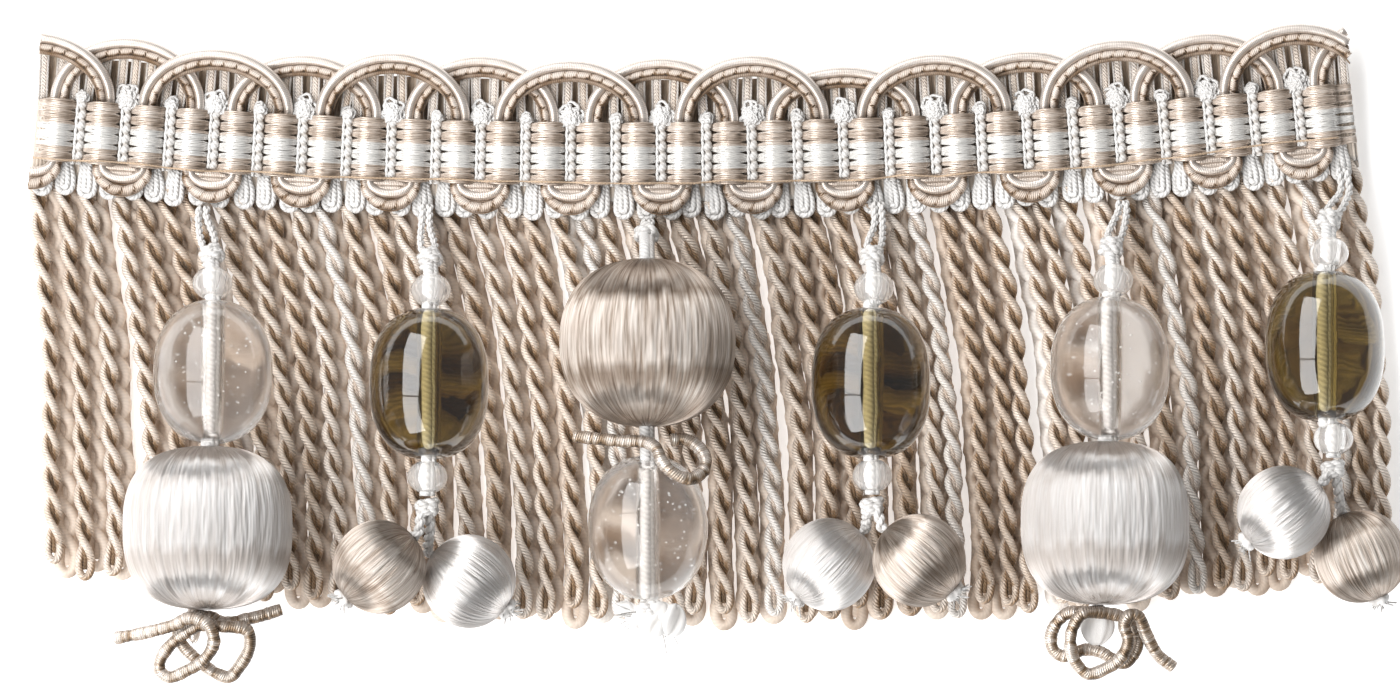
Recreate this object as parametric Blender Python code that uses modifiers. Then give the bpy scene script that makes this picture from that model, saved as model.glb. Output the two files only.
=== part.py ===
"""A cut length of beaded bullion fringe, lying on its back with its face up.

+X runs along the trim, +Y points to its heading and +Z up from the surface.
The origin is on the surface, under the middle of the trim.
"""
import math
from collections import namedtuple

import bmesh
import bpy
from mathutils import Vector

# Sizes are in millimetres, and MM turns them into metres
MM = 0.001
SAME_PLACE = 0.01
MERGE_DISTANCE = 0.01

# The whole length, and the gentle curve that it lies in
LEFT_END = -98.6
RIGHT_END = 91.3
TOP_LINE = 42.3
SAG_X = -14.3
SAG_RADIUS = 943.0

# Wrapped legs of the heading, counted from 0 at the left
LEG_COUNT = 29
FIRST_LEG = -94.7
LEG_PITCH = 6.46
LEG_SQUEEZE = 0.9
SQUEEZE_FIRST_LEG = 2
SQUEEZE_LEGS = 21

# Depths across the heading, down from the tops of the arches
ARCH_FOOT = 9.0
U_TOP = 18.3
BAND_TOP = 9.2
BAND_BOTTOM = 18.3
RIB_HEAD = 6.2
PICOT_TOP = 0.9
PICOT_VALLEY = 2.0
LOOP_BOTTOM = 23.0
LOOP_SHOULDER = 22.6
LOOP_VALLEY = 21.8
STRIP_BOTTOM = 21.8
FRONT_STRIP_TOP = 14.5
REAR_STRIP_TOP = 10.2
STRING_RISE = 24.8

# Heights above the surface
REAR_LOW = 0.0
FRONT_LOW = 1.7
FRONT_LYING_LOW = 2.7
STRIP_THICKNESS = 1.4
STRAND_THICKNESS = 2.2
GROUND_LOW = 3.4
GROUND_RIDGE = 4.2
GROUND_GROOVE = 3.8
GIMP_LEVEL = 5.1
FRONT_ARCH_RISE = 1.5
BAND_CROWN = 6.7
BAND_SIDE = 5.3
BAND_RIB = 6.0
BAND_THICKNESS = 0.6

# Gimp: two cords side by side, wound in arches and U turns
ARCH_HALF = 1.5 * LEG_PITCH
ARCH_HEIGHT = 7.5
U_HALF = 0.5 * LEG_PITCH
LEGS_PER_REPEAT = 4
ARCH_STEPS = 6
U_STEPS = 5
SATIN_OFFSET = 0.75
SATIN_RADIUS = 0.6
CRIMPED_OFFSET = -0.7
CRIMPED_RADIUS = 0.45
FRONT_FIRST_ARCH = -0.5
REAR_FIRST_ARCH = -2.5
FRONT_ARCH_DROPS = (0.0, 0.4, -0.3, 0.3, -0.3, 0.4, 0.0, 0.0)
REAR_ARCH_DROPS = (0.0, -0.4, 0.5, -0.2, -0.1, 1.7, 0.7, 0.1, 0.0)

# Ground: picots along its top are two columns wide, and loops along its foot three
GROUND_COLUMNS = 179
PICOT_COLUMNS = 2
LOOP_COLUMNS = 3

# Satin band: half widths of one wrapped leg at its crown and its foot
CROWN_HALF = 1.5
FOOT_HALF = 2.4

# Skirt of bullion cords
ROOT_WIDTH = 2.3
CORD_WIDTH = 2.2
LOOP_WIDTH = 2.7
TIP_WIDTH = 1.3
TIP_THICKNESS = 1.2
FLAT_ROOT_LENGTH = 1.6
SWELLING_LENGTH = 11.0
LOOP_LENGTH = 4.5
TIP_LINE = -38.9
TIP_LINE_RADIUS = 625.0
# Waves that make the tips uneven: rate, start and height
TIP_WAVES = ((2.3, 0.0, 0.8), (5.1, 1.0, 0.5))
SWAY_POWER = 2.5
SWAY = 6.5
LEFT_SWAY = 2.0
LEFT_SWAY_REACH = 18.0
RIGHT_SWAY = 4.6
RIGHT_SWAY_REACH = 12.0
END_MARGIN = 0.4

Row = namedtuple("Row", "name count first last strip_top low lying_low longer material")
SKIRT_ROWS = (
    Row("skirt_rear", 43, -95.4, 88.0, REAR_STRIP_TOP, REAR_LOW, REAR_LOW, 0.8, "rear_cord"),
    Row("skirt_front", 52, -97.0, 89.6, FRONT_STRIP_TOP, FRONT_LOW, FRONT_LYING_LOW, 0.0, "taupe_cord"),
)

# Beads and balls: half width, half height, squareness, bore radius, steps round and down
Form = namedtuple("Form", "half_width half_height squareness bore around down material")
BORE = 1.35
FORMS = {
    "seed": Form(2.75, 2.3, 2.0, BORE, 10, 4, "clear_glass"),
    "clear_oval": Form(8.6, 10.4, 2.0, BORE, 14, 8, "clear_glass"),
    "dark_oval": Form(8.6, 10.9, 2.1, BORE, 14, 8, "smoked_glass"),
    "white_ball": Form(12.2, 11.7, 2.3, BORE, 16, 9, "white_silk"),
    "taupe_ball": Form(12.7, 12.1, 2.3, BORE, 16, 9, "taupe_silk"),
    "small_white_ball": Form(6.7, 6.6, 2.1, 0.0, 12, 7, "white_silk"),
    "small_taupe_ball": Form(6.7, 6.6, 2.1, 0.0, 12, 7, "taupe_silk"),
}

# Pieces on the strings, from the heading down; tilt is how far the upper end hangs lower
Strung = namedtuple("Strung", "name pendant form x y z tilt")
STRUNG = (
    Strung("bead_1", 1, "seed", -73.0, 9.8, 11.9, 20),
    Strung("oval_1", 1, "clear_oval", -72.8, -3.0, 15.0, 12),
    Strung("ball_1", 1, "white_ball", -73.4, -25.4, 18.2, 5),
    Strung("bead_2", 2, "seed", -41.5, 8.8, 11.9, 18),
    Strung("oval_2", 2, "dark_oval", -41.7, -4.7, 14.5, 9),
    Strung("bead_2_low", 2, "seed", -41.9, -18.1, 16.3, 3),
    Strung("ball_3", 3, "taupe_ball", -10.3, 1.2, 18.2, 4),
    Strung("oval_3", 3, "clear_oval", -10.2, -25.4, 15.4, -15),
    Strung("bead_4", 4, "seed", 22.4, 9.1, 11.9, 18),
    Strung("oval_4", 4, "dark_oval", 21.9, -4.6, 14.5, 9),
    Strung("bead_4_low", 4, "seed", 22.1, -17.9, 16.3, 3),
    Strung("bead_5", 5, "seed", 56.9, 10.2, 11.9, 20),
    Strung("oval_5", 5, "clear_oval", 56.3, -2.5, 15.0, 12),
    Strung("ball_5", 5, "white_ball", 55.5, -24.7, 18.2, 5),
    Strung("bead_6", 6, "seed", 88.0, 14.1, 11.9, 18),
    Strung("oval_6", 6, "dark_oval", 87.3, 0.7, 14.5, 9),
    Strung("bead_6_low", 6, "seed", 88.4, -12.6, 16.3, 3),
)

# Strings: the place in the heading where each leaves it, and its knot
StringRow = namedtuple("StringRow", "pendant exit_x exit_down knot_y knot_z")
STRINGS = (
    StringRow(1, -73.2, 23.3, 13.9, 9.8),
    StringRow(2, -41.7, 21.5, 13.4, 9.4),
    StringRow(3, -10.4, 23.3, 16.9, 10.6),
    StringRow(4, 22.2, 21.5, 13.7, 9.5),
    StringRow(5, 56.7, 23.3, 15.0, 9.8),
    StringRow(6, 88.2, 21.5, 19.0, 9.2),
)
STRING_RADIUS = 1.0
KNOT_RADIUS = 1.5
STRING_EXIT_RADIUS = 0.7
STRING_EXIT_HEIGHT = 5.25
STRING_RISE_HEIGHT = 5.7
STRING_TAIL = 0.5
BALL_LEAD = 1.2

# Small balls hung in pairs from a twin cord, each with the way its lower end points
Hung = namedtuple("Hung", "name pendant form x y z toward_x toward_y")
HUNG = (
    Hung("ball_2_taupe", 2, "small_taupe_ball", -48.8, -31.0, 17.0, -0.75, -0.65),
    Hung("ball_2_white", 2, "small_white_ball", -36.0, -33.2, 12.0, 0.80, -0.60),
    Hung("ball_4_white", 4, "small_white_ball", 15.9, -30.8, 12.0, -0.70, -0.70),
    Hung("ball_4_taupe", 4, "small_taupe_ball", 28.8, -30.1, 17.0, 0.74, -0.67),
    Hung("ball_6_white", 6, "small_white_ball", 81.2, -23.2, 17.0, -0.78, -0.62),
    Hung("ball_6_taupe", 6, "small_taupe_ball", 92.6, -29.6, 12.0, 0.40, -0.92),
)
TWIN_RADIUS = 0.6
TWIN_KNOT_RADIUS = 0.9
TWIN_KNOT_HALF = 1.1
TWIN_KNOT_DROP = 0.5
TWIN_KNOT_HEIGHT = 15.9
TWIN_BOW_OUT = 1.2
CLEARANCE = 0.4

# Bows of wrapped cord: routes chosen by eye, with the crossings kept apart in height
BOW_RADIUS = 0.55
BOW_ROUTES = {
    "bow_1": (
        (-86.7, -41.3, 15.0), (-82.5, -40.5, 17.0), (-78.4, -39.4, 18.8), (-75.9, -38.3, 19.7),
        (-73.3, -39.2, 19.8), (-72.5, -41.9, 18.8), (-74.1, -44.5, 17.8), (-76.6, -46.0, 17.0),
        (-78.9, -46.9, 16.2), (-80.4, -45.9, 15.8), (-79.9, -43.6, 16.4), (-77.4, -41.0, 17.6),
        (-74.5, -39.4, 18.2), (-70.9, -39.6, 18.2), (-67.8, -40.1, 17.6), (-67.5, -42.7, 16.4),
        (-68.9, -45.3, 15.4), (-70.5, -46.9, 14.8), (-72.8, -46.1, 15.0), (-74.9, -44.5, 15.4),
        (-76.9, -42.6, 15.9), (-77.8, -40.4, 16.1), (-76.0, -38.4, 16.4), (-73.1, -38.2, 16.5),
        (-71.0, -39.1, 16.2), (-66.3, -38.2, 15.6), (-63.0, -37.2, 15.0),
    ),
    "bow_3": (
        (-20.9, -12.2, 20.0), (-17.3, -12.6, 20.2), (-13.9, -12.9, 20.4), (-10.9, -13.0, 20.6),
        (-9.0, -13.9, 21.2), (-8.2, -15.7, 22.4), (-6.6, -17.4, 22.8), (-4.3, -18.3, 22.2),
        (-2.4, -17.4, 20.6), (-1.9, -15.5, 19.4), (-3.0, -13.7, 18.8), (-4.8, -12.7, 18.6),
        (-6.8, -12.8, 18.9),
    ),
    "bow_5": (
        (53.1, -37.6, 15.6), (50.3, -37.7, 15.6), (48.5, -39.3, 15.6), (47.8, -41.3, 15.2),
        (48.3, -43.2, 15.0), (50.0, -43.9, 15.0), (52.6, -43.0, 15.0), (54.9, -43.3, 15.2),
        (58.2, -44.9, 15.2), (60.1, -43.0, 15.2), (60.2, -40.4, 15.4), (58.4, -38.4, 15.9),
        (55.1, -37.6, 17.2), (52.3, -37.7, 18.5), (50.9, -39.6, 18.6), (50.5, -41.8, 18.2),
        (51.1, -44.4, 17.4), (53.1, -46.4, 16.8), (55.7, -45.6, 17.0), (57.8, -44.1, 17.4),
        (58.8, -41.7, 18.0), (58.2, -39.4, 18.5), (58.9, -37.9, 18.7), (60.4, -38.2, 18.2),
        (61.4, -40.6, 16.8), (63.1, -43.6, 15.4), (65.4, -45.5, 14.6),
    ),
}

# Frayed end of the third string, under its lower bead
TUFT_X = -9.9
TUFT_Y = -38.6
TUFT_Z = 14.0
TUFT_HALF = (5.2, 2.2, 2.4)
TUFT_AROUND = 10
TUFT_DOWN = 6
TUFT_RAGGED = 0.12
TUFT_RAGGED_X = 7.0
TUFT_RAGGED_Y = 3.0

COLLECTION = "Beaded bullion fringe trim"

# Colour, roughness and transmission of each material
Finish = namedtuple("Finish", "colour roughness transmission")
FINISHES = {
    "ground_yarn": Finish((0.80, 0.74, 0.67), 0.7, 0.0),
    "satin_cord": Finish((0.70, 0.58, 0.47), 0.35, 0.0),
    "crimped_cord": Finish((0.58, 0.45, 0.35), 0.5, 0.0),
    "satin_band": Finish((0.66, 0.55, 0.45), 0.35, 0.0),
    "taupe_cord": Finish((0.55, 0.43, 0.32), 0.55, 0.0),
    "rear_cord": Finish((0.66, 0.56, 0.47), 0.6, 0.0),
    "white_yarn": Finish((0.88, 0.86, 0.83), 0.6, 0.0),
    "clear_glass": Finish((0.95, 0.95, 0.95), 0.05, 0.9),
    "smoked_glass": Finish((0.16, 0.13, 0.07), 0.05, 0.8),
    "white_silk": Finish((0.86, 0.83, 0.81), 0.35, 0.0),
    "taupe_silk": Finish((0.60, 0.51, 0.43), 0.35, 0.0),
    "bow_cord": Finish((0.55, 0.45, 0.36), 0.45, 0.0),
}


def clear_scene():
    """Remove what the scene holds."""
    for old in list(bpy.data.objects):
        bpy.data.objects.remove(old, do_unlink=True)


def make_material(name):
    """One Principled material, from its row in FINISHES."""
    finish = FINISHES[name]
    material = bpy.data.materials.get(name) or bpy.data.materials.new(name)
    material.use_nodes = True
    shader = material.node_tree.nodes["Principled BSDF"]
    shader.inputs["Base Color"].default_value = (*finish.colour, 1.0)
    shader.inputs["Roughness"].default_value = finish.roughness
    shader.inputs["Transmission Weight"].default_value = finish.transmission
    return material


def add_object(name, data, material):
    """Put a mesh or curve into the trim's collection."""
    thing = bpy.data.objects.new(name, data)
    data.materials.append(make_material(material))
    bpy.data.collections[COLLECTION].objects.link(thing)
    return thing


def add_mesh(name, shape, material):
    """Turn a bmesh into an object with its faces pointing out."""
    bmesh.ops.recalc_face_normals(shape, faces=shape.faces)
    mesh = bpy.data.meshes.new(name)
    shape.to_mesh(mesh)
    shape.free()
    return add_object(name, mesh, material)


def place(along, down, up):
    """A point of the heading, which bends round a centre far above it."""
    angle = (along - SAG_X) / SAG_RADIUS
    reach = SAG_RADIUS + down
    x = SAG_X + reach * math.sin(angle)
    y = TOP_LINE + SAG_RADIUS - reach * math.cos(angle)
    return Vector((x, y, up)) * MM


def leg_x(number):
    """Place along the trim of a wrapped leg, or between two for a part number."""
    share = (number - SQUEEZE_FIRST_LEG) / SQUEEZE_LEGS
    squeeze = LEG_SQUEEZE * math.sin(math.pi * min(max(share, 0.0), 1.0))
    return FIRST_LEG + LEG_PITCH * number - squeeze


def add_tube(name, points, radii, material):
    """A four-sided tube through points, with a radius at each of them."""
    curve = bpy.data.curves.new(name, "CURVE")
    curve.dimensions = "3D"
    curve.twist_mode = "Z_UP"
    curve.bevel_depth = max(radii) * MM
    curve.bevel_resolution = 0
    curve.use_fill_caps = True
    spline = curve.splines.new("POLY")
    spline.points.add(len(points) - 1)
    for spot, point, radius in zip(spline.points, points, radii):
        spot.co = (*point, 1.0)
        spot.radius = radius / max(radii)
    return add_object(name, curve, material)


def clip_along(points, low, high):
    """The stretch of a path that lies between two places along the trim."""
    kept = []
    for before, after in zip(points, points[1:]):
        start, end = sorted((before, after), key=lambda point: point[0])
        if end[0] <= low or start[0] >= high:
            continue
        for point in (before, after):
            limit = min(max(point[0], low), high)
            share = (limit - before[0]) / (after[0] - before[0]) if after[0] != before[0] else 0.0
            if point is after and limit == after[0]:
                share = 1.0
            spot = tuple(b + (a - b) * share for b, a in zip(before, after))
            if not kept or math.dist(kept[-1], spot) > SAME_PLACE:
                kept.append(spot)
    return kept


def gimp_path(first_arch, drops, offset, arch_rise):
    """Arches and U turns of one cord, as along, down and up."""
    path = []
    for repeat, drop in enumerate(drops):
        middle = first_arch + LEGS_PER_REPEAT * repeat
        for step in range(ARCH_STEPS + 1):
            turn = math.pi * (1 - step / ARCH_STEPS)
            lift = math.sin(turn)
            raised = arch_rise if 0 < step < ARCH_STEPS else 0.0
            path.append((
                leg_x(middle) + (ARCH_HALF + offset) * math.cos(turn),
                ARCH_FOOT - (ARCH_HEIGHT + offset) * lift + drop * lift,
                GIMP_LEVEL + raised,
            ))
        middle += LEGS_PER_REPEAT / 2
        for step in range(U_STEPS + 1):
            turn = math.pi * (1 - step / U_STEPS)
            path.append((
                leg_x(middle) + (U_HALF - offset) * math.cos(turn),
                U_TOP + (U_HALF - offset) * math.sin(turn),
                GIMP_LEVEL,
            ))
    return clip_along(path, LEFT_END + END_MARGIN, RIGHT_END - END_MARGIN)


def build_gimps():
    """Two gimps, the front one passing over the rear one, each of two cords."""
    gimps = (
        ("front", FRONT_FIRST_ARCH, FRONT_ARCH_DROPS, FRONT_ARCH_RISE),
        ("rear", REAR_FIRST_ARCH, REAR_ARCH_DROPS, 0.0),
    )
    cords = (
        ("satin", SATIN_OFFSET, SATIN_RADIUS, "satin_cord"),
        ("crimped", CRIMPED_OFFSET, CRIMPED_RADIUS, "crimped_cord"),
    )
    for gimp, first_arch, drops, rise in gimps:
        for cord, offset, radius, material in cords:
            path = gimp_path(first_arch, drops, offset, rise)
            points = [place(*spot) for spot in path]
            add_tube(f"gimp_{gimp}_{cord}", points, [radius] * len(points), material)


def add_grid(columns):
    """A strip of quads two points deep, with each point's column and whether it is the lower one."""
    shape = bmesh.new()
    bmesh.ops.create_grid(shape, x_segments=columns, y_segments=1, size=1.0)
    spots = []
    for vert in shape.verts:
        column = round((vert.co.x + 1) / 2 * columns)
        spots.append((vert, column, vert.co.y < 0))
    return shape, spots


def thicken_down(shape, level):
    """Extrude an open sheet to a flat back at one level."""
    sheet = shape.faces[:]
    made = bmesh.ops.extrude_face_region(shape, geom=sheet, use_keep_orig=True)
    for item in made["geom"]:
        if isinstance(item, bmesh.types.BMVert):
            item.co.z = level


def build_ground():
    """Woven ground: ridges of picots along the top edge, loops along the foot."""
    shape, spots = add_grid(GROUND_COLUMNS)
    for vert, column, lower in spots:
        along = LEFT_END + (RIGHT_END - LEFT_END) * column / GROUND_COLUMNS
        if lower:
            place_in_loop = column % LOOP_COLUMNS
            valley = place_in_loop == 0
            down = (LOOP_VALLEY, LOOP_BOTTOM, LOOP_SHOULDER)[place_in_loop]
        else:
            valley = column % PICOT_COLUMNS == 0
            down = PICOT_VALLEY if valley else PICOT_TOP
        vert.co = (along, down, GROUND_GROOVE if valley else GROUND_RIDGE)
    thicken_down(shape, GROUND_LOW)
    for vert in shape.verts:
        vert.co = place(*vert.co)
    add_mesh("braid_ground", shape, "ground_yarn")


def band_stations():
    """Places along the satin band: four on each wrapped leg and a rib between legs."""
    stations = [(LEFT_END + END_MARGIN, BAND_SIDE, False)]
    for leg in range(LEG_COUNT):
        middle = leg_x(leg)
        stations += [
            (middle - FOOT_HALF, BAND_SIDE, False),
            (middle - CROWN_HALF, BAND_CROWN, False),
            (middle + CROWN_HALF, BAND_CROWN, False),
            (middle + FOOT_HALF, BAND_SIDE, False),
        ]
        if leg < LEG_COUNT - 1:
            stations.append((leg_x(leg + 0.5), BAND_RIB, leg % 2 == 1))
    stations.append((RIGHT_END - END_MARGIN, BAND_SIDE, False))
    return stations


def build_band():
    """Satin band that wraps the legs, with a white rib of binding yarn between them."""
    stations = band_stations()
    shape, spots = add_grid(len(stations) - 1)
    for vert, column, lower in spots:
        along, up, has_head = stations[column]
        down = BAND_BOTTOM if lower else BAND_TOP
        if has_head and not lower:
            down = RIB_HEAD
        vert.co = place(along, down, up)
    band = add_mesh("satin_band", shape, "satin_band")
    if band.data.polygons[0].normal.z < 0:
        band.data.flip_normals()
    wall = band.modifiers.new("Thickness", "SOLIDIFY")
    wall.thickness = BAND_THICKNESS * MM
    wall.offset = -1.0


def sway(root):
    """How far to the right a cord's tip hangs from its root."""
    left = min(1.0, (root - LEFT_END) / LEFT_SWAY_REACH)
    right = min(1.0, (RIGHT_END - root) / RIGHT_SWAY_REACH)
    reach = LEFT_SWAY + (SWAY - LEFT_SWAY) * left
    return min(reach, RIGHT_SWAY + (SWAY - RIGHT_SWAY) * right)


def tip_y(number, x):
    """Where a cord ends: a curved line, a little uneven from cord to cord."""
    uneven = sum(height * math.sin(rate * number + start) for rate, start, height in TIP_WAVES)
    return TIP_LINE + x * x / (2 * TIP_LINE_RADIUS) + uneven


def strand_rings(row, number, root):
    """Sections of one cord from its root to the tip of its loop."""
    top = place(root, STRIP_BOTTOM, 0.0) / MM
    tip_x = top.x + sway(root)
    tip = tip_y(number + row.strip_top, tip_x) - row.longer
    length = top.y - tip
    full = STRAND_THICKNESS
    sections = (
        (FLAT_ROOT_LENGTH, ROOT_WIDTH, row.low, STRIP_THICKNESS),
        (SWELLING_LENGTH, CORD_WIDTH, row.lying_low, full),
        (length - LOOP_LENGTH, LOOP_WIDTH, row.lying_low, full),
        (length, TIP_WIDTH, row.lying_low, TIP_THICKNESS),
    )
    rings = []
    for run, width, low, thickness in sections:
        share = 1 - (1 - run / length) ** SWAY_POWER
        rings.append((top.x + (tip_x - top.x) * share, top.y - run, width, low, low + thickness))
    return rings


def build_skirt(row):
    """A sewing strip with its cords extruded out of its lower edge."""
    step = (row.last - row.first) / (row.count - 1)
    roots = [row.first + step * number for number in range(row.count)]
    walls = [LEFT_END + END_MARGIN]
    for root in roots:
        walls += [root - ROOT_WIDTH / 2, root + ROOT_WIDTH / 2]
    walls.append(RIGHT_END - END_MARGIN)
    shape, spots = add_grid(len(walls) - 1)
    for vert, column, lower in spots:
        down = STRIP_BOTTOM if lower else row.strip_top
        vert.co = (walls[column], down, row.low + STRIP_THICKNESS)
    thicken_down(shape, row.low)
    root_faces = {}
    for face in shape.faces:
        middle = face.calc_center_median()
        if all(abs(vert.co.y - STRIP_BOTTOM) < SAME_PLACE for vert in face.verts):
            nearest = min(range(row.count), key=lambda number: abs(roots[number] - middle.x))
            if abs(roots[nearest] - middle.x) < SAME_PLACE:
                root_faces[nearest] = face
    for vert in shape.verts:
        vert.co = place(*vert.co)
    for number, root in enumerate(roots):
        face = root_faces[number]
        for x, y, width, low, high in strand_rings(row, number, root):
            face = bmesh.ops.extrude_discrete_faces(shape, faces=[face])["faces"][0]
            middle = face.calc_center_median()
            for vert in face.verts:
                side = 1 if vert.co.x > middle.x else -1
                up = high if vert.co.z > middle.z else low
                vert.co = Vector((x + side * width / 2, y, up)) * MM
    add_mesh(row.name, shape, row.material)


def turned_profile(form):
    """Half outline of a bead or ball, down its outer side."""
    if form.bore:
        start = math.acos((form.bore / form.half_width) ** (form.squareness / 2))
    else:
        start = math.pi / 2
    outline = []
    for step in range(form.down + 1):
        turn = start * (1 - 2 * step / form.down)
        x = form.half_width * math.cos(turn) ** (2 / form.squareness)
        z = form.half_height * abs(math.sin(turn)) ** (2 / form.squareness)
        outline.append((x, 0.0, math.copysign(z, turn)))
    if not form.bore:
        outline[0] = (0.0, 0.0, form.half_height)
        outline[-1] = (0.0, 0.0, -form.half_height)
    return outline


def bore_half_height(form):
    """Height above the middle at which the bore opens."""
    return turned_profile(form)[0][2]


def add_turned(name, form, middle, axis):
    """Turn a bead or ball about its own axis, which points up to the heading."""
    outline = [Vector(point) * MM for point in turned_profile(form)]
    edges = [(number, number + 1) for number in range(len(outline) - 1)]
    if form.bore:
        edges.append((len(outline) - 1, 0))
    mesh = bpy.data.meshes.new(name)
    mesh.from_pydata(outline, edges, [])
    turned = add_object(name, mesh, form.material)
    turned.location = middle * MM
    turned.rotation_euler = axis.to_track_quat("Z", "Y").to_euler()
    spin = turned.modifiers.new("Turn", "SCREW")
    spin.axis = "Z"
    spin.steps = form.around
    spin.render_steps = form.around
    spin.use_merge_vertices = True
    spin.merge_threshold = MERGE_DISTANCE * MM
    return turned


def strung_axis(row):
    """Way that a strung piece's upper end points."""
    tilt = math.radians(row.tilt)
    return Vector((0.0, math.cos(tilt), -math.sin(tilt)))


def build_string(row):
    """A string from the heading, through its knot and the bores, to its lower end."""
    start = place(row.exit_x, row.exit_down, STRING_EXIT_HEIGHT) / MM
    rise = place(row.exit_x, STRING_RISE, STRING_RISE_HEIGHT) / MM
    knot = Vector((row.exit_x, row.knot_y, row.knot_z))
    toward = (knot - rise).normalized()
    points = [start, rise, knot - toward * KNOT_RADIUS, knot, knot + toward * KNOT_RADIUS]
    radii = [STRING_EXIT_RADIUS, STRING_RADIUS, STRING_RADIUS, KNOT_RADIUS, STRING_RADIUS]
    own = [piece for piece in STRUNG if piece.pendant == row.pendant]
    for piece in own:
        reach = strung_axis(piece) * bore_half_height(FORMS[piece.form])
        middle = Vector((piece.x, piece.y, piece.z))
        if piece is own[0] and piece.form.endswith("ball"):
            points.append(middle + reach * (1 + BALL_LEAD / reach.length))
            radii.append(STRING_RADIUS)
        points += [middle + reach, middle - reach]
        radii += [STRING_RADIUS, STRING_RADIUS]
    if not own[-1].form.endswith("ball"):
        points.append(points[-1] + Vector((0.0, -STRING_TAIL, 0.0)))
        radii.append(STRING_RADIUS)
    add_tube(f"string_{row.pendant}", [point * MM for point in points], radii, "white_yarn")


def build_pendants():
    """Strings with their beads and big balls."""
    for row in STRINGS:
        build_string(row)
    for piece in STRUNG:
        middle = Vector((piece.x, piece.y, piece.z))
        add_turned(piece.name, FORMS[piece.form], middle, strung_axis(piece))


def build_twins():
    """Pairs of small balls, each pair on one cord with a knot at its middle."""
    pendants = sorted({piece.pendant for piece in HUNG})
    for pendant in pendants:
        bead = [piece for piece in STRUNG if piece.pendant == pendant][-1]
        reach = FORMS[bead.form].half_height + STRING_TAIL + CLEARANCE
        knot = Vector((bead.x, bead.y - reach - TWIN_KNOT_DROP, TWIN_KNOT_HEIGHT))
        halves = []
        for ball in [piece for piece in HUNG if piece.pendant == pendant]:
            form = FORMS[ball.form]
            middle = Vector((ball.x, ball.y, ball.z))
            axis = -Vector((ball.toward_x, ball.toward_y, 0.0)).normalized()
            add_turned(ball.name, form, middle, axis)
            seat = middle + axis * (form.half_height + CLEARANCE)
            halves.append((seat, seat + axis * TWIN_BOW_OUT))
        left, right = halves
        aside = Vector((TWIN_KNOT_HALF, 0.0, 0.0))
        points = [left[0], left[1], knot - aside, knot + aside, right[1], right[0]]
        radii = [TWIN_RADIUS, TWIN_RADIUS, TWIN_KNOT_RADIUS, TWIN_KNOT_RADIUS, TWIN_RADIUS, TWIN_RADIUS]
        add_tube(f"twin_{pendant}", [point * MM for point in points], radii, "white_yarn")


def build_bows():
    """Bows of wrapped cord under the big balls."""
    for name, route in BOW_ROUTES.items():
        points = [Vector(point) * MM for point in route]
        add_tube(name, points, [BOW_RADIUS] * len(points), "bow_cord")


def build_tuft():
    """Frayed white end of the third string."""
    shape = bmesh.new()
    bmesh.ops.create_uvsphere(shape, u_segments=TUFT_AROUND, v_segments=TUFT_DOWN, radius=1.0)
    half_x, half_y, half_z = TUFT_HALF
    for vert in shape.verts:
        phase = TUFT_RAGGED_X * vert.co.x + TUFT_RAGGED_Y * vert.co.y
        ragged = 1.0 + TUFT_RAGGED * math.sin(phase)
        vert.co = Vector((
            TUFT_X + vert.co.x * half_x * ragged,
            TUFT_Y + vert.co.y * half_y,
            TUFT_Z + vert.co.z * half_z,
        )) * MM
    add_mesh("tuft_3", shape, "white_yarn")


def main():
    """Build every piece of the trim."""
    clear_scene()
    group = bpy.data.collections.get(COLLECTION) or bpy.data.collections.new(COLLECTION)
    if group.name not in bpy.context.scene.collection.children:
        bpy.context.scene.collection.children.link(group)
    build_ground()
    build_gimps()
    build_band()
    for row in SKIRT_ROWS:
        build_skirt(row)
    build_pendants()
    build_twins()
    build_bows()
    build_tuft()


main()
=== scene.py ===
"""Looks of a beaded bullion fringe trim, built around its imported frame.

+X runs along the trim, +Y points to its heading and +Z up from the floor.
Sizes are in millimetres until a mesh is made.
"""
import math
from collections import namedtuple

import bpy
import numpy as np
from mathutils import Matrix, Vector
from numpy.random import default_rng


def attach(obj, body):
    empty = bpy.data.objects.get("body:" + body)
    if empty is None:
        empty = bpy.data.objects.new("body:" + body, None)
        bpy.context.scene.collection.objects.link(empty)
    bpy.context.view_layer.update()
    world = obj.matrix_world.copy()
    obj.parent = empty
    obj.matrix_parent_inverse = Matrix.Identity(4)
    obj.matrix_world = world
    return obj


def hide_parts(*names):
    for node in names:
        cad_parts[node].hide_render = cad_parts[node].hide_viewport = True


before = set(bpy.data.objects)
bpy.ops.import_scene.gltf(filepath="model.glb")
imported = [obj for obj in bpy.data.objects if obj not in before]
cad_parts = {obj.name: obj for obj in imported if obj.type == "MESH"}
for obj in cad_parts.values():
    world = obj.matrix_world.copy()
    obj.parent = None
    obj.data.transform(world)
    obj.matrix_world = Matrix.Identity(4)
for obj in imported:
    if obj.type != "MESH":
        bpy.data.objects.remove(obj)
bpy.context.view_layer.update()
scene = bpy.context.scene

MM = 0.001
PI = math.pi
TAU = 2 * PI
# How much painted shade darkens a ply on the side that faces its cord's core
PLY_PAINTED_SHADE = 0.6

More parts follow.
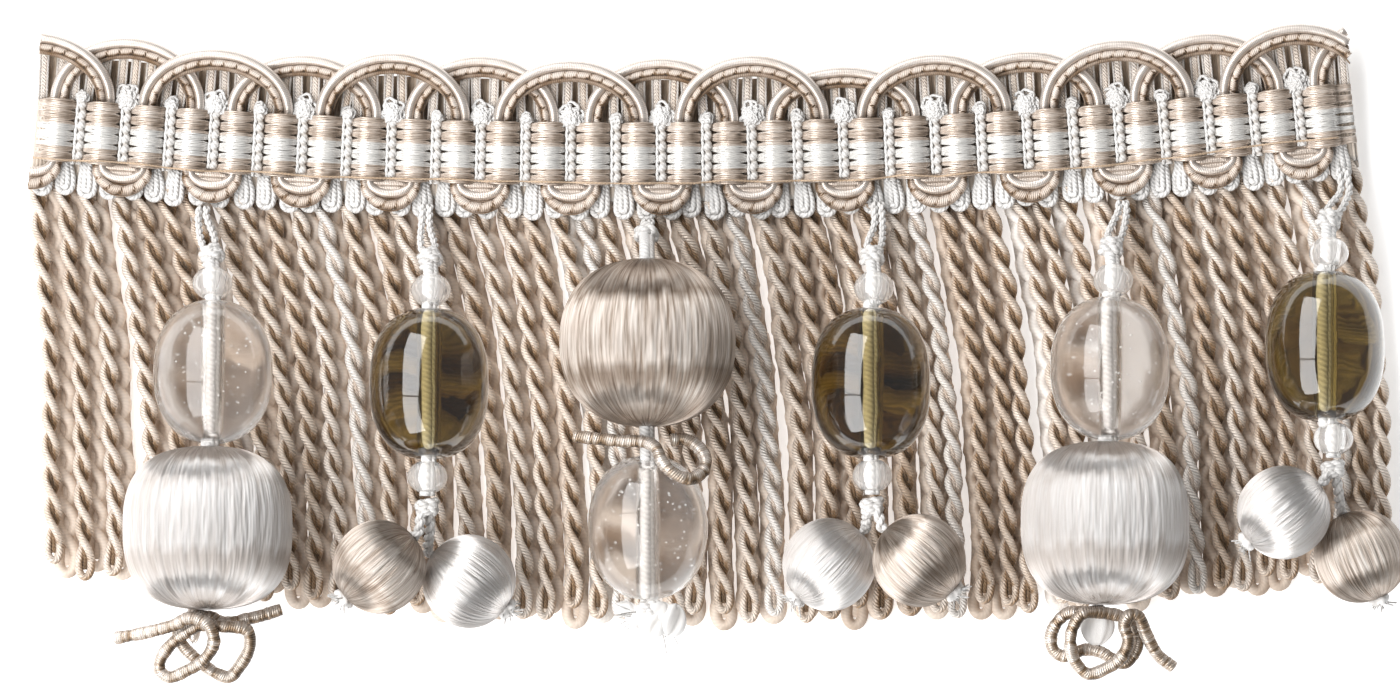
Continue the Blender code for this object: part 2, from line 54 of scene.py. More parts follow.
# Sizes of the trim, most of them as its solids have them
LEFT_END = -98.6
RIGHT_END = 91.3
TOP_LINE = 42.3
SAG_X = -14.3
SAG_RADIUS = 943.0
LEG_COUNT = 29
FIRST_LEG = -94.7
LEG_PITCH = 6.46
LEG_SQUEEZE = 0.9
SQUEEZE_FIRST_LEG = 2
SQUEEZE_LEGS = 21
ARCH_FOOT = 9.0
U_TOP = 18.3
BAND_TOP = 9.2
BAND_BOTTOM = 18.3
ARCH_HALF = 1.5 * LEG_PITCH
ARCH_HEIGHT = 7.5
U_HALF = 3.44
U_DEPTH = 2.75
LEGS_PER_REPEAT = 4
GIMP_LEVEL = 5.1
# The first arch of each gimp, how far each of its arches lies lower, and its rise
GIMPS = (
    ("front", -0.5, (0.0, 0.4, -0.3, 0.3, -0.3, 0.4, 0.0, 0.0), 1.5),
    ("rear", -2.5, (0.0, -0.4, 0.5, -0.2, -0.1, 1.7, 0.7, 0.1, 0.0), 0.0),
)
SATIN_OFFSET = 0.75
SATIN_RADIUS = 0.72
CRIMPED_OFFSET = -0.52
CRIMPED_RADIUS = 0.62
# Offset and radius of the dark tubes beside a crimped cord, which are painted shadow, and what they gain
# under the arches
SHADOW_LINES = ((0.10, 0.22, 0.0), (-1.14, 0.15, 0.32))
# Pitch and width of the deep grooves and the fine teeth in the wrapping of a crimped cord
CRIMPED_GROOVES = (1.9, 0.07)
CRIMPED_TEETH = (0.62, 0.22)
# Beige floats that fill the U turns: how far down each lies, and half its length
U_FLOATS = ((18.5, 2.6), (19.3, 1.88))
U_FLOAT_LEVEL = 5.0
U_FLOAT_RADIUS = 0.55
END_MARGIN = 0.4
WARP_THREADS = 36
WARP_RADIUS = 0.155
WARP_LEVEL = 4.75
WARP_RISE = 1.8
WHITE_WARPS = (14, 27)
CURL_LEVEL = 5.1
LUMP_PITCH = 1.5
# Of every other column: its lower end, and the lower edge, half width and height of its curls
COLUMNS = ((18.5, 8.8, 0.55, 0.7), (17.7, 8.9, 1.6, 2.35))
# Two loops of each picot: half width, level, thickness, tint and share of white
PICOT_PITCH = 2.15
PICOTS = ((0.56, 4.6, 0.17, 1.2, 0.55), (0.12, 4.35, 0.42, 0.35, 0.0))
# Outer and inner loop along the foot: half width, lower end, level and tint
FOOT_LOOP_PITCH = 3.18
FOOT_LOOPS = ((1.08, 22.9, 3.8, 0.8), (0.38, 22.1, 4.05, 1.0))


def place(along, down, up):
    """Points of the heading, which bends round a centre far above it."""
    along, down, up = np.broadcast_arrays(along, down, up)
    angle = (along - SAG_X) / SAG_RADIUS
    reach = SAG_RADIUS + down
    x = SAG_X + reach * np.sin(angle)
    y = TOP_LINE + SAG_RADIUS - reach * np.cos(angle)
    return np.stack([x, y, up], axis=-1).astype(float)


def leg_x(number):
    """Place along the trim of a wrapped leg, or between two for a part number."""
    share = np.clip((np.asarray(number, float) - SQUEEZE_FIRST_LEG) / SQUEEZE_LEGS, 0, 1)
    return FIRST_LEG + LEG_PITCH * number - LEG_SQUEEZE * np.sin(PI * share)


def smooth(value):
    """An even step from 0 to 1."""
    value = np.clip(value, 0.0, 1.0)
    return value * value * (3 - 2 * value)


def unit(vectors):
    """The same directions with length 1."""
    vectors = np.asarray(vectors, float)
    return vectors / np.linalg.norm(vectors, axis=-1, keepdims=True)


def ring(count):
    """Even angles round a circle."""
    return np.arange(count) * TAU / count


# Tubes and surfaces

# Gives a path that starts straight up a first normal too
NUDGE = (1e-6, 2e-6, 0.0)


def path_frames(paths):
    """Tangents, untwisted normals and binormals of many paths of one length."""
    tangents = unit(np.gradient(paths, axis=1))
    normals = np.empty_like(paths)
    normals[:, 0] = unit(np.array([0.0, 0.0, 1.0]) - tangents[:, 0] * tangents[:, 0, 2:3] + NUDGE)
    for step in range(1, paths.shape[1]):
        along = np.sum(normals[:, step - 1] * tangents[:, step], axis=1, keepdims=True)
        normals[:, step] = unit(normals[:, step - 1] - along * tangents[:, step])
    return tangents, normals, np.cross(tangents, normals)


def path_lengths(paths):
    """How far along its path each point lies."""
    steps = np.linalg.norm(np.diff(paths, axis=1), axis=2)
    return np.concatenate([np.zeros((len(paths), 1)), np.cumsum(steps, axis=1)], axis=1)


def add_object(name, data):
    """A new object in the scene."""
    thing = bpy.data.objects.new(name, data)
    scene.collection.objects.link(thing)
    return thing


class Piece:
    """Tubes and patches gathered into one mesh, with the values that its points hold."""

    def __init__(self):
        self.points, self.corners, self.sizes, self.coords = [], [], [], []
        # The tint value holds random tone and painted shade alike; the white value holds the white share, and
        # on wound silk its painted shade
        self.held = {"tint": [], "white": []}
        self.count = 0

    def add_grid(self, grid, u, v, tint=0.0, white=0.0, loop=False):
        """Rings of points, joined into a loop or capped at both ends."""
        rows, columns = grid.shape[:2]
        i, j = np.indices((rows if loop else rows - 1, columns)).reshape(2, -1)
        ways = ((i, j), (i, j + 1), (i + 1, j + 1), (i + 1, j))
        u = np.append(u, u[0]) if loop else np.asarray(u)
        v = np.asarray(v, float)
        self.points.append(grid.reshape(-1, 3))
        faces = np.stack([a % rows * columns + b % columns for a, b in ways], axis=1)
        self.corners.append((faces + self.count).ravel())
        self.sizes.append(np.full(len(faces), 4))
        coords = np.stack([np.stack([u[a], v[b]], axis=1) for a, b in ways], axis=1)
        self.coords.append(coords.reshape(-1, 2))
        for label, values in (("tint", tint), ("white", white)):
            self.held[label].append(np.broadcast_to(values, (rows, columns)).ravel())
        rim = np.arange(columns)
        caps = () if loop else ((rim[::-1], 0), (rim + (rows - 1) * columns, rows - 1))
        for ends, level in caps:
            self.corners.append(ends + self.count)
            self.sizes.append(np.array([columns]))
            self.coords.append(np.stack([np.full(columns, u[level]), v[:columns]], axis=1))
        self.count += rows * columns

    def add_tubes(self, paths, radius, sides, tint=0.0, white=0.0, flat=1.0, shade_toward=None, deepen=0.0):
        """Tubes round paths, with painted shade on the side that faces a given way, such as the way to a
        cord's core.
        """
        paths = np.asarray(paths, float)
        if paths.ndim == 2:
            paths = paths[None]
        tangents, normals, binormals = path_frames(paths)
        angle = ring(sides)[:, None]
        outward = np.cos(angle) * normals[:, :, None] + np.sin(angle) * binormals[:, :, None]
        shape = outward.shape[:3]
        offset = outward * np.broadcast_to(radius, shape)[..., None]
        offset[..., 2] *= flat
        grids = paths[:, :, None] + offset
        if shade_toward is not None:
            tint = tint - deepen * np.clip(np.sum(outward * shade_toward[:, :, None], axis=3), 0.0, 1.0)
        tint, white = np.broadcast_to(tint, shape), np.broadcast_to(white, shape)
        around = np.arange(sides + 1) / sides
        for number, lengths in enumerate(path_lengths(paths)):
            self.add_grid(grids[number], lengths, around, tint[number], white[number])

    def make(self, name, look, *nodes, slot=None):
        """Turn what was gathered into a smooth mesh that rides on the body."""
        mesh = bpy.data.meshes.new(name)
        points = np.concatenate(self.points) * MM
        corners = np.concatenate(self.corners).astype(np.int32)
        sizes = np.concatenate(self.sizes)
        starts = (np.cumsum(sizes) - sizes).astype(np.int32)
        mesh.vertices.add(len(points))
        mesh.vertices.foreach_set("co", points.astype(np.float32).ravel())
        mesh.loops.add(len(corners))
        mesh.loops.foreach_set("vertex_index", corners)
        mesh.polygons.add(len(starts))
        mesh.polygons.foreach_set("loop_start", starts)
        mesh.update(calc_edges=True)
        layer = mesh.uv_layers.new(name="Path")
        layer.data.foreach_set("uv", np.concatenate(self.coords).astype(np.float32).ravel())
        for label, values in self.held.items():
            held = mesh.attributes.new(label, "FLOAT", "POINT")
            held.data.foreach_set("value", np.concatenate(values).astype(np.float32))
        mesh.shade_smooth()
        mesh.materials.append(looks[look])
        thing = add_object(name, mesh)
        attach(thing, "root")
        if nodes:
            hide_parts(*nodes)
        return thing


def two_ply(piece, centres, helix, ply, pitch, sides, tint=0.0, phase=0.0):
    """Two plies that wind round a centre path, each painted darker as shade on the side that faces it."""
    centres = np.asarray(centres, float)[None]
    tangents, normals, binormals = path_frames(centres)
    angle = phase - TAU * path_lengths(centres) / pitch
    for half in (0.0, PI):
        out = np.cos(angle + half)[..., None] * binormals + np.sin(angle + half)[..., None] * normals
        piece.add_tubes(centres + helix * out, ply, sides, tint, shade_toward=-unit(out), deepen=PLY_PAINTED_SHADE)


# Materials

looks = {}


class Shader:
    """One procedural material, kept in looks under its name."""

    def __init__(self, name, roughness, ior=1.5, **constants):
        self.material = looks[name] = bpy.data.materials.new(name)
        self.material.use_nodes = True
        self.tree = self.material.node_tree
        self.shader = self.tree.nodes["Principled BSDF"]
        for label, value in dict(Roughness=roughness, IOR=ior, **constants).items():
            self.set(label.replace("_", " "), value)

    def feed(self, socket, value):
        """A link into a socket, or a constant on it."""
        if isinstance(value, bpy.types.NodeSocket):
            self.tree.links.new(value, socket)
        else:
            socket.default_value = value

    def set(self, label, value):
        """A value for the shader itself."""
        self.feed(self.shader.inputs[label], value)

    def node(self, kind, values=(), **settings):
        """A node with settings, and with values or links for its inputs."""
        made = self.tree.nodes.new(f"ShaderNode{kind}")
        for label, value in settings.items():
            setattr(made, label, value)
        for label, value in dict(values).items():
            self.feed(made.inputs[label], value)
        return made

    def math(self, operation, *terms):
        """One sum."""
        return self.node("Math", enumerate(terms), operation=operation).outputs[0]

    def held(self, label):
        """A value held by the mesh's points."""
        return self.node("Attribute", attribute_name=label).outputs["Fac"]

    def path(self):
        """Millimetres along the path, and turns round it."""
        coords = self.node("UVMap", uv_map="Path").outputs[0]
        return self.node("SeparateXYZ", {0: coords}).outputs[:2]

    def point(self, *parts):
        """A vector from three numbers."""
        return self.node("CombineXYZ", enumerate(parts)).outputs[0]

    def place(self):
        """Object place in millimetres."""
        coords = self.node("TexCoord").outputs["Object"]
        return self.node("VectorMath", {0: coords, 3: 1 / MM}, operation="SCALE").outputs[0]

    def noise(self, vector, scale, detail=2.0):
        """Soft noise from 0 to 1."""
        return self.node("TexNoise", {"Vector": vector, "Scale": scale, "Detail": detail}).outputs[0]

    def ramp(self, value, *stops):
        """Colours over a value."""
        made = self.node("ValToRGB", {0: value})
        marks = made.color_ramp.elements
        while len(marks) < len(stops):
            marks.new(0.5)
        for mark, (spot, colour) in zip(marks, stops):
            mark.position = spot
            mark.color = (*colour, 1.0)
        return made.outputs[0]

    def mix(self, share, first, second, blend="MIX"):
        """Two colours mixed."""
        first, second = ((*one, 1.0) if isinstance(one, tuple) else one for one in (first, second))
        values = {0: share, 6: first, 7: second}
        return self.node("Mix", values, data_type="RGBA", blend_type=blend).outputs[2]

    def bump(self, height, depth, *below):
        """Fine relief, its depth in millimetres, perhaps over another relief."""
        values = {"Height": height, "Distance": depth * MM, "Strength": 1.0}
        values.update(zip(["Normal"], below))
        return self.node("Bump", values).outputs[0]


def yarn(
    name, dark, base, light, turns, per_mm, depth, roughness, gloss, sheen,
    pale=(0.86, 0.83, 0.79), groove_shade=0.26, white_shade=(0.76, 0.76, 0.76),
):
    """Silky yarn with wound filaments, its own tint, which also carries painted shade, and a white variant.
    """
    made = Shader(name, roughness, Metallic=gloss, Sheen_Weight=sheen, Sheen_Roughness=0.5)
    along, around = made.path()
    phase = made.math("MULTIPLY", made.noise(made.place(), 0.6), 1.2)
    phase = made.math("MULTIPLY_ADD", along, per_mm * TAU, phase)
    phase = made.math("MULTIPLY_ADD", around, turns * TAU, phase)
    # 0 in the grooves between the wound filaments and 1 on top of them
    ridge = made.math("MULTIPLY_ADD", made.math("SINE", phase), 0.5, 0.5)
    patch = made.math("MULTIPLY_ADD", made.noise(made.place(), 0.35, 3.0), 0.45, 0.275)
    value = made.math("MULTIPLY_ADD", made.held("tint"), 0.35, patch)
    # Low values come mostly from painted shade: the darkest colour serves the dark core tubes, and white yarn
    # dims in shade
    deep = tuple(0.3 * part for part in dark)
    colour = made.ramp(value, (0.0, deep), (0.22, dark), (0.5, base), (0.8, light))
    fine = made.noise(made.place(), 6.0)
    shade_dimmed = tuple(share * part for share, part in zip(white_shade, pale))
    white = made.ramp(value, (0.1, shade_dimmed), (0.5, pale))
    colour = made.mix(made.held("white"), colour, white)
    # The grooves between the filaments are darkened, painted shade
    groove = made.math("MULTIPLY_ADD", ridge, groove_shade, 1.02 - groove_shade)
    made.set("Base Color", made.mix(1.0, colour, made.point(groove, groove, groove), "MULTIPLY"))
    made.set("Normal", made.bump(fine, depth * 0.6, made.bump(ridge, depth)))


def silk(name, dark, base, light, shade_colour, roughness, metallic, anisotropy):
    """Filaments wound from pole to pole, which shine in a band round the middle, with painted shade towards
    the poles and on their left side.
    """
    made = Shader(
        name, roughness, Metallic=metallic, Anisotropic=anisotropy, Anisotropic_Rotation=0.25,
    )
    along, around = made.path()
    ball = made.math("MULTIPLY", made.held("tint"), 40.0)

    def streaks(density, stretch, scale, detail):
        """Noise drawn out along the filaments."""
        across = made.math("MULTIPLY", around, density)
        return made.noise(made.point(across, made.math("MULTIPLY", along, stretch), ball), scale, detail)

    fine = made.math("MULTIPLY", streaks(130.0, 0.10, 1.6, 3.0), 0.65)
    value = made.math("MULTIPLY_ADD", streaks(22.0, 0.10, 1.0, 2.0), 0.35, fine)
    colour = made.ramp(value, (0.34, dark), (0.5, base), (0.64, light))
    # Painted shade: the colour is pulled toward a darker colour as far as the held white value says
    shade = made.mix(made.held("white"), (1.0, 1.0, 1.0), shade_colour)
    made.set("Base Color", made.mix(1.0, colour, shade, "MULTIPLY"))
    lean = streaks(90.0, 0.16, 1.0, 1.0)
    made.set("Normal", made.bump(value, 0.07, made.bump(lean, 0.5)))
    made.set("Tangent", made.node("Tangent", direction_type="UV_MAP", uv_map="Path").outputs[0])


def glass(name, colour, roughness, body=None, density=0.0, ior=1.5, clear=1.0):
    """Pressed glass with a few soft waves, and perhaps a colour that deepens inside."""
    made = Shader(name, roughness, ior, Transmission_Weight=clear, Coat_Weight=1.0, Coat_IOR=1.55)
    if body:
        depth = made.node("VolumeAbsorption", {"Color": (*body, 1.0), "Density": density})
        made.feed(made.tree.nodes["Material Output"].inputs["Volume"], depth.outputs[0])
    ripple = made.noise(made.place(), 0.25, 1.0)
    made.set("Base Color", made.mix(ripple, tuple(0.97 * part for part in colour), colour))
    made.set("Normal", made.bump(ripple, 0.12))


def speck(name, colour):
    """Small pale bubbles and seeds of air in the glass."""
    made = Shader(name, 0.35, 1.4, Sheen_Weight=0.1)
    cloud = made.noise(made.place(), 3.0)
    made.set("Base Color", made.mix(cloud, tuple(0.9 * part for part in colour), colour))
    made.set("Normal", made.bump(cloud, 0.02))


yarn("ground_weave", (0.44, 0.34, 0.25), (0.84, 0.73, 0.62), (0.90, 0.82, 0.73), 0, 2.0, 0.1, 0.7, 0.0, 0.1)
yarn("satin_cord", (0.34, 0.25, 0.18), (0.72, 0.625, 0.55), (0.89, 0.84, 0.80), 2, 4.0, 0.02, 0.28, 0.6, 0.0)
yarn(
    "crimped_cord", (0.24, 0.14, 0.07), (0.76, 0.63, 0.53), (0.90, 0.81, 0.73),
    3, 3.5, 0.06, 0.42, 0.25, 0.1,
)
yarn(
    "satin_band", (0.42, 0.33, 0.26), (0.72, 0.615, 0.53), (0.87, 0.79, 0.72),
    2, 0.8, 0.02, 0.33, 0.45, 0.0, (0.93, 0.91, 0.88), 0.2,
)
yarn(
    "taupe_cord", (0.42, 0.26, 0.14), (0.87, 0.745, 0.635), (0.95, 0.88, 0.82),
    5, 2.0, 0.11, 0.40, 0.25, 0.15, (0.91, 0.86, 0.81), 0.27, (0.80, 0.70, 0.62),
)
yarn(
    "rear_cord", (0.50, 0.37, 0.27), (0.87, 0.745, 0.635), (0.93, 0.84, 0.76),
    4, 2.0, 0.015, 0.55, 0.05, 0.25, (0.91, 0.86, 0.81), 0.08, (0.89, 0.83, 0.78),
)
yarn(
    "white_yarn", (0.52, 0.475, 0.43), (0.77, 0.745, 0.72), (0.87, 0.855, 0.84),
    3, 1.6, 0.08, 0.45, 0.0, 0.2, groove_shade=0.22,
)
yarn("sewing_thread", (0.45, 0.30, 0.18), (0.68, 0.51, 0.36), (0.78, 0.63, 0.50), 2, 1.5, 0.03, 0.5, 0.1, 0.1)
yarn("bow_cord", (0.30, 0.20, 0.12), (0.64, 0.55, 0.47), (0.88, 0.81, 0.75), 3, 3.0, 0.05, 0.27, 0.6, 0.05)
silk(
    "white_silk", (0.75, 0.71, 0.68), (0.84, 0.81, 0.79), (0.90, 0.885, 0.875),
    (0.66, 0.62, 0.59), 0.5, 0.88, 1.0,
)
silk(
    "taupe_silk", (0.33, 0.25, 0.19), (0.72, 0.63, 0.56), (0.92, 0.86, 0.80),
    (0.33, 0.275, 0.225), 0.5, 0.85, 1.0,
)
glass("clear_glass", (0.80, 0.765, 0.735), 0.18, ior=1.42)
glass("seed_glass", (0.90, 0.885, 0.87), 0.02, ior=1.65, clear=0.8)
glass("smoked_glass", (0.97, 0.95, 0.90), 0.05, (0.545, 0.455, 0.10), 285.0)
speck("glass_bubble", (0.97, 0.96, 0.95))


# Heading

def on_trim(along):
    """Which places along the trim lie between its cut ends."""
    return (along > LEFT_END + END_MARGIN) & (along < RIGHT_END - END_MARGIN)


def crimp(path, sides, pitch, width):
    """How deep each point of a wrapped cord lies in the groove between its wraps."""
    phase = path_lengths(path[None])[:, :, None] / pitch + np.arange(sides) / sides
    gap = (phase + 0.5) % 1.0 - 0.5
    return np.exp(-(gap / width) ** 2)


def resample(path, step):
    """The same path with even steps."""
    lengths = path_lengths(path[None])[0]
    marks = np.linspace(0, lengths[-1], int(lengths[-1] / step) + 2)
    return np.stack([np.interp(marks, lengths, path[:, axis]) for axis in range(3)], axis=1)


def depth_of(points):
    """How far below the heading's top line points lie."""
    return np.hypot(points[..., 0] - SAG_X, TOP_LINE + SAG_RADIUS - points[..., 1]) - SAG_RADIUS


def gimp_runs(first_arch, drops, offset, arch_rise):
    """The stretches of one cord of a gimp that lie on the trim, in arches and U turns."""
    path = []
    for repeat, drop in enumerate(drops):
        middle = first_arch + LEGS_PER_REPEAT * repeat
        turn = PI * (1 - np.arange(25) / 24)
        lift = np.sin(turn)
        path.append(np.stack([
            leg_x(middle) + (ARCH_HALF + offset) * np.cos(turn),
            ARCH_FOOT - (ARCH_HEIGHT + offset - drop) * lift,
            GIMP_LEVEL + arch_rise * (1 - (1 - lift) ** 4),
        ], axis=1))
        turn = PI * (1 - np.arange(13) / 12)
        path.append(np.stack([
            leg_x(middle + LEGS_PER_REPEAT / 2) + (U_HALF - 0.59 * offset) * np.cos(turn),
            U_TOP + (U_DEPTH - 1.34 * offset) * np.sin(turn),
            np.full(13, GIMP_LEVEL),
        ], axis=1))
    path = resample(np.concatenate(path), 0.1)
    edges = np.flatnonzero(np.diff(np.concatenate([[0], on_trim(path[:, 0]), [0]])))
    return [place(*path[start:end].T) for start, end in edges.reshape(-1, 2) if end - start > 12]


def build_gimps():
    """Two gimps, the front one over the rear one, each of a satin and a crimped cord."""
    made = []
    rng = default_rng(19)
    for gimp, first_arch, drops, rise in GIMPS:
        piece = Piece()
        # Painted shade on one side of each satin cord, its other side a little lighter
        lit = 0.3 - 0.6 * smooth((np.sin(ring(12)) - 0.2) / 0.6)
        for run in gimp_runs(first_arch, drops, SATIN_OFFSET, rise):
            piece.add_tubes(resample(run, 0.55), SATIN_RADIUS, 12, lit)
        turns = np.arange(first_arch - 2, LEG_COUNT, LEGS_PER_REPEAT)
        for middle in leg_x(turns[(turns > 0) & (turns < LEG_COUNT - 1)]):
            for down, half in U_FLOATS:
                across = middle + half * np.linspace(-1, 1, 7)
                piece.add_tubes(place(across, down, U_FLOAT_LEVEL), U_FLOAT_RADIUS, 8, -0.1)
        made.append(piece.make(f"gimp_{gimp}_satin_cord", "satin_cord", f"gimp_{gimp}_satin"))
        piece = Piece()
        sides = 8
        inward = np.sin(ring(sides))
        for run in gimp_runs(first_arch, drops, CRIMPED_OFFSET, rise):
            path = resample(run, 0.19)
            turned = smooth((depth_of(path) - U_TOP) / 1.5)[:, None]
            groove = crimp(path, sides, *CRIMPED_GROOVES)
            teeth = crimp(path, sides, *CRIMPED_TEETH)
            # Painted shade on the crimped cord's inward side, its teeth and its grooves, weaker on the U
            # turns
            side_shade = smooth((inward - 0.45 + 0.55 * teeth + 0.3 * groove) / 0.35) * (1 - 0.5 * turned)
            steps = np.arange(len(path))
            marks = np.arange(0, len(path) + 9, 9)
            uneven = np.interp(steps, marks, rng.uniform(-0.5, 0.3, len(marks)))[:, None]
            piece.add_tubes(
                path, CRIMPED_RADIUS + 0.12 * turned - 0.12 * groove - 0.04 * teeth, sides,
                0.5 + uneven - (1.5 - 0.2 * turned) * groove - 1.3 * side_shade,
            )
        # Dark tubes beside each crimped cord, painted shadow
        for offset, radius, fuller in SHADOW_LINES:
            for run in gimp_runs(first_arch, drops, offset, rise):
                line = resample(run, 0.55)
                line[:, 2] -= 0.3
                thick = radius + fuller * smooth((ARCH_FOOT - 3.0 - depth_of(line)) / 2.0)
                piece.add_tubes(line, thick[:, None], 6, -0.6)
        made.append(piece.make(f"gimp_{gimp}_crimped_cord", "crimped_cord", f"gimp_{gimp}_crimped"))
    return made


def build_warp():
    """Satin threads that float over each wrapped leg and dip between the legs."""
    legs = np.linspace(-0.55, LEG_COUNT - 0.3, LEG_COUNT * 9)
    along = leg_x(legs)
    inside = on_trim(along)
    legs, along = legs[inside], along[inside]
    middle = leg_x(np.clip(np.round(legs), 0, LEG_COUNT - 1))
    aside = np.abs(along - middle)
    float_up = np.clip(1 - (aside / 2.35) ** 2.6, 0, 1) ** 0.6
    pitch = (BAND_BOTTOM - BAND_TOP) / WARP_THREADS
    number = np.arange(WARP_THREADS)[:, None]
    own = BAND_TOP + pitch * (number + 0.5)
    group = BAND_TOP + pitch * 6 * (np.floor(number / 6) + 0.5)
    gather = 0.35 * smooth((aside - 1.3) / 1.3)
    rng = default_rng(3)
    shape = (WARP_THREADS, len(legs))
    wobble = rng.normal(0, 0.022, shape)
    wobble = (wobble + np.roll(wobble, 1, axis=1)) / 1.4
    down = own + (group - own) * gather + wobble
    up = WARP_LEVEL + WARP_RISE * float_up + rng.normal(0, 0.015, shape)
    white = ((number >= WHITE_WARPS[0]) & (number < WHITE_WARPS[1])).astype(float)
    tint = rng.uniform(-0.4, 0.4, (WARP_THREADS, 1)) + rng.normal(0, 0.2, shape)
    # Painted shade on the right part of each float over a leg
    right = smooth((along - middle - 0.1) / 1.3) * (1 - smooth((aside - 2.0) / 0.9))
    tint = tint + 0.2 - 0.65 * right
    piece = Piece()
    piece.add_tubes(place(along, down, up), WARP_RADIUS, 4, tint[..., None], white[..., None])
    return piece.make("warp_threads", "satin_band", "satin_band")


def add_curls(piece, middle, low, wide, high, seed):
    """A dome of fine curls: one yarn that coils while it sweeps to and fro."""
    rng = default_rng(seed)
    arc = np.linspace(-0.1, 1.1, 14) * PI
    for reach in (0.15, 0.6):
        filling = place(middle + reach * wide * np.cos(arc), low - reach * high * np.sin(arc), CURL_LEVEL)
        piece.add_tubes(filling, 0.3 * wide, 6, 0.6)
    count = int(76 * wide * high) + 36
    share = np.linspace(0, 1, count)
    reach = 1 - 0.9 * share
    sweep = PI * (0.5 + 0.58 * np.sin(TAU * (0.3 + 2.6 * share) + rng.uniform(0, 1)))
    coil = TAU * count / 10.5 * share + rng.uniform(0, TAU)
    bend = 0.42 * (1 + 0.3 * np.sin(7.3 * coil / 3 + seed))
    x = middle + wide * reach * np.cos(sweep) + bend * np.cos(coil)
    down = low - high * reach * np.sin(sweep) + bend * np.sin(coil)
    up = CURL_LEVEL + 0.8 * (1 - reach) + 0.22 * np.sin(coil + 1.0)
    piece.add_tubes(place(x, down, up), 0.24, 5, rng.uniform(0.3, 0.9))


def build_columns():
    """White binding columns between the legs, with curled loops on every other one."""
    piece = Piece()
    curls = Piece()
    for number in range(LEG_COUNT - 1):
        middle = float(leg_x(number + 0.5))
        foot, low, wide, high = COLUMNS[number % 2]
        down = np.linspace(8.9, foot, 30)
        across = middle - 0.56 + 0.05 * np.sin(down * 4 + number)
        piece.add_tubes(place(across, down, 5.4), 0.26, 6, 0.6)
        down = np.linspace(8.8, foot, 66)
        bulge = np.abs(np.sin(PI * down / LUMP_PITCH))
        across = middle + 0.14 + 0.08 * np.sin(TAU * down / LUMP_PITCH)
        # Painted shade in the notches between the lumps of a column
        tint = 0.1 - 1.1 * (1 - bulge) ** 2
        piece.add_tubes(place(across, down, 5.3), (0.36 + 0.22 * bulge)[:, None], 8, tint[:, None])
        add_curls(curls, middle, low, wide, high, number)
    return [piece.make("binding_columns", "white_yarn"), curls.make("curled_loops", "white_yarn")]


def loops(along, half, top, bottom, up, points, sign=1):
    """Paths of narrow loops, whose round ends point up where sign is -1."""
    legs = points // 3
    turn = np.linspace(0, PI, points - 2 * legs + 2)[1:-1]
    run = np.linspace(0, 1, legs)
    bottom, along = np.broadcast_arrays(np.reshape(bottom, (-1, 1)), along[:, None])
    end = bottom - sign * half
    x = np.concatenate([np.full(legs, -half), -half * np.cos(turn), np.full(legs, half)])
    down = np.concatenate([
        top + (end - top) * run, end + sign * half * np.sin(turn), end + (top - end) * run,
    ], axis=1)
    return place(along + x, down, up)


def build_edge_loops():
    """Beige picots behind the arches, and white twisted loops along the foot."""
    rng = default_rng(11)
    along = np.arange(LEFT_END + 1.6, RIGHT_END - 1.2, PICOT_PITCH)
    along = along + rng.uniform(-0.22, 0.22, len(along))
    arches, drops = np.array([
        (leg_x(first + LEGS_PER_REPEAT * repeat), drop)
        for _, first, drops, _ in GIMPS for repeat, drop in enumerate(drops)
    ]).T
    nearest = np.argmin(np.abs(along[:, None] - arches), axis=1)
    round_arch = np.sqrt(1 - np.clip((along - arches[nearest]) / ARCH_HALF, -1, 1) ** 2)
    tops = ARCH_FOOT - (ARCH_HEIGHT - drops[nearest]) * round_arch - 0.1
    lean = np.sin(np.linspace(0, PI, 18)) * rng.uniform(-0.5, 0.5, (len(along), 1))
    piece = Piece()
    for half, up, thickness, tint, white in PICOTS:
        paths = loops(along, half, 9.6, tops, up, 18, -1)
        paths[..., 0] += lean
        # Painted shade on the right side of each picot
        shaded = np.broadcast_to(unit((1.0, -0.2, 0.0)), paths.shape)
        own = tint + rng.uniform(-0.3, 0.3, (len(along), 1, 1))
        piece.add_tubes(paths, thickness, 6, own, white, shade_toward=shaded, deepen=0.9)
    made = [piece.make("picot_loops", "taupe_cord", slot="satin_cord")]
    along = np.arange(LEFT_END + 2.2, RIGHT_END - 1.4, FOOT_LOOP_PITCH)
    along = along + rng.uniform(-0.15, 0.15, len(along))
    turns = leg_x(np.arange(GIMPS[0][1] - 4, LEG_COUNT + 2, LEGS_PER_REPEAT / 2))
    hidden = np.min(np.abs(along[:, None] - turns), axis=1) < U_HALF - 0.6
    piece = Piece()
    for behind, top in ((False, 17.9), (True, 19.7)):
        own = along[hidden == behind]
        uneven = rng.uniform(-0.25, 0.25, (len(own), 1))
        tilt = rng.uniform(-0.3, 0.3, (len(own), 1))
        for half, bottom, up, tint in FOOT_LOOPS:
            paths = loops(own, half, top, bottom, up, 26)
            hang = smooth((depth_of(paths) - 18.4) / 2.6)
            middle = np.mean(paths[..., 0], axis=1, keepdims=True)
            paths[..., 0] = middle + (paths[..., 0] - middle) * (0.7 + 0.3 * hang) + tilt * hang
            paths[..., 1] += uneven
            paths[..., 2] += 0.3 * hang * np.sign(paths[..., 0] - middle)
            piece.add_tubes(paths, 0.43, 7, tint + rng.uniform(-0.4, 0.2, (len(own), 1, 1)))
    return made + [piece.make("foot_loops", "white_yarn")]


# Where the ground turns white towards its foot
FOOT_WHITE = 19.6
# Name, first and last place below the top line, back and face level, steps, look, slot and nodes
GROUND_ROWS = (
    ("ground_weave", 3.0, 20.6, 3.05, 3.4, 300, "ground_weave", "ground_yarn", ["braid_ground"]),
    ("front_sewing_strip", 14.5, 21.6, 1.75, 2.95, 120, "taupe_cord", None, []),
    ("rear_sewing_strip", 10.2, 21.6, 0.05, 1.3, 120, "rear_cord", None, []),
)


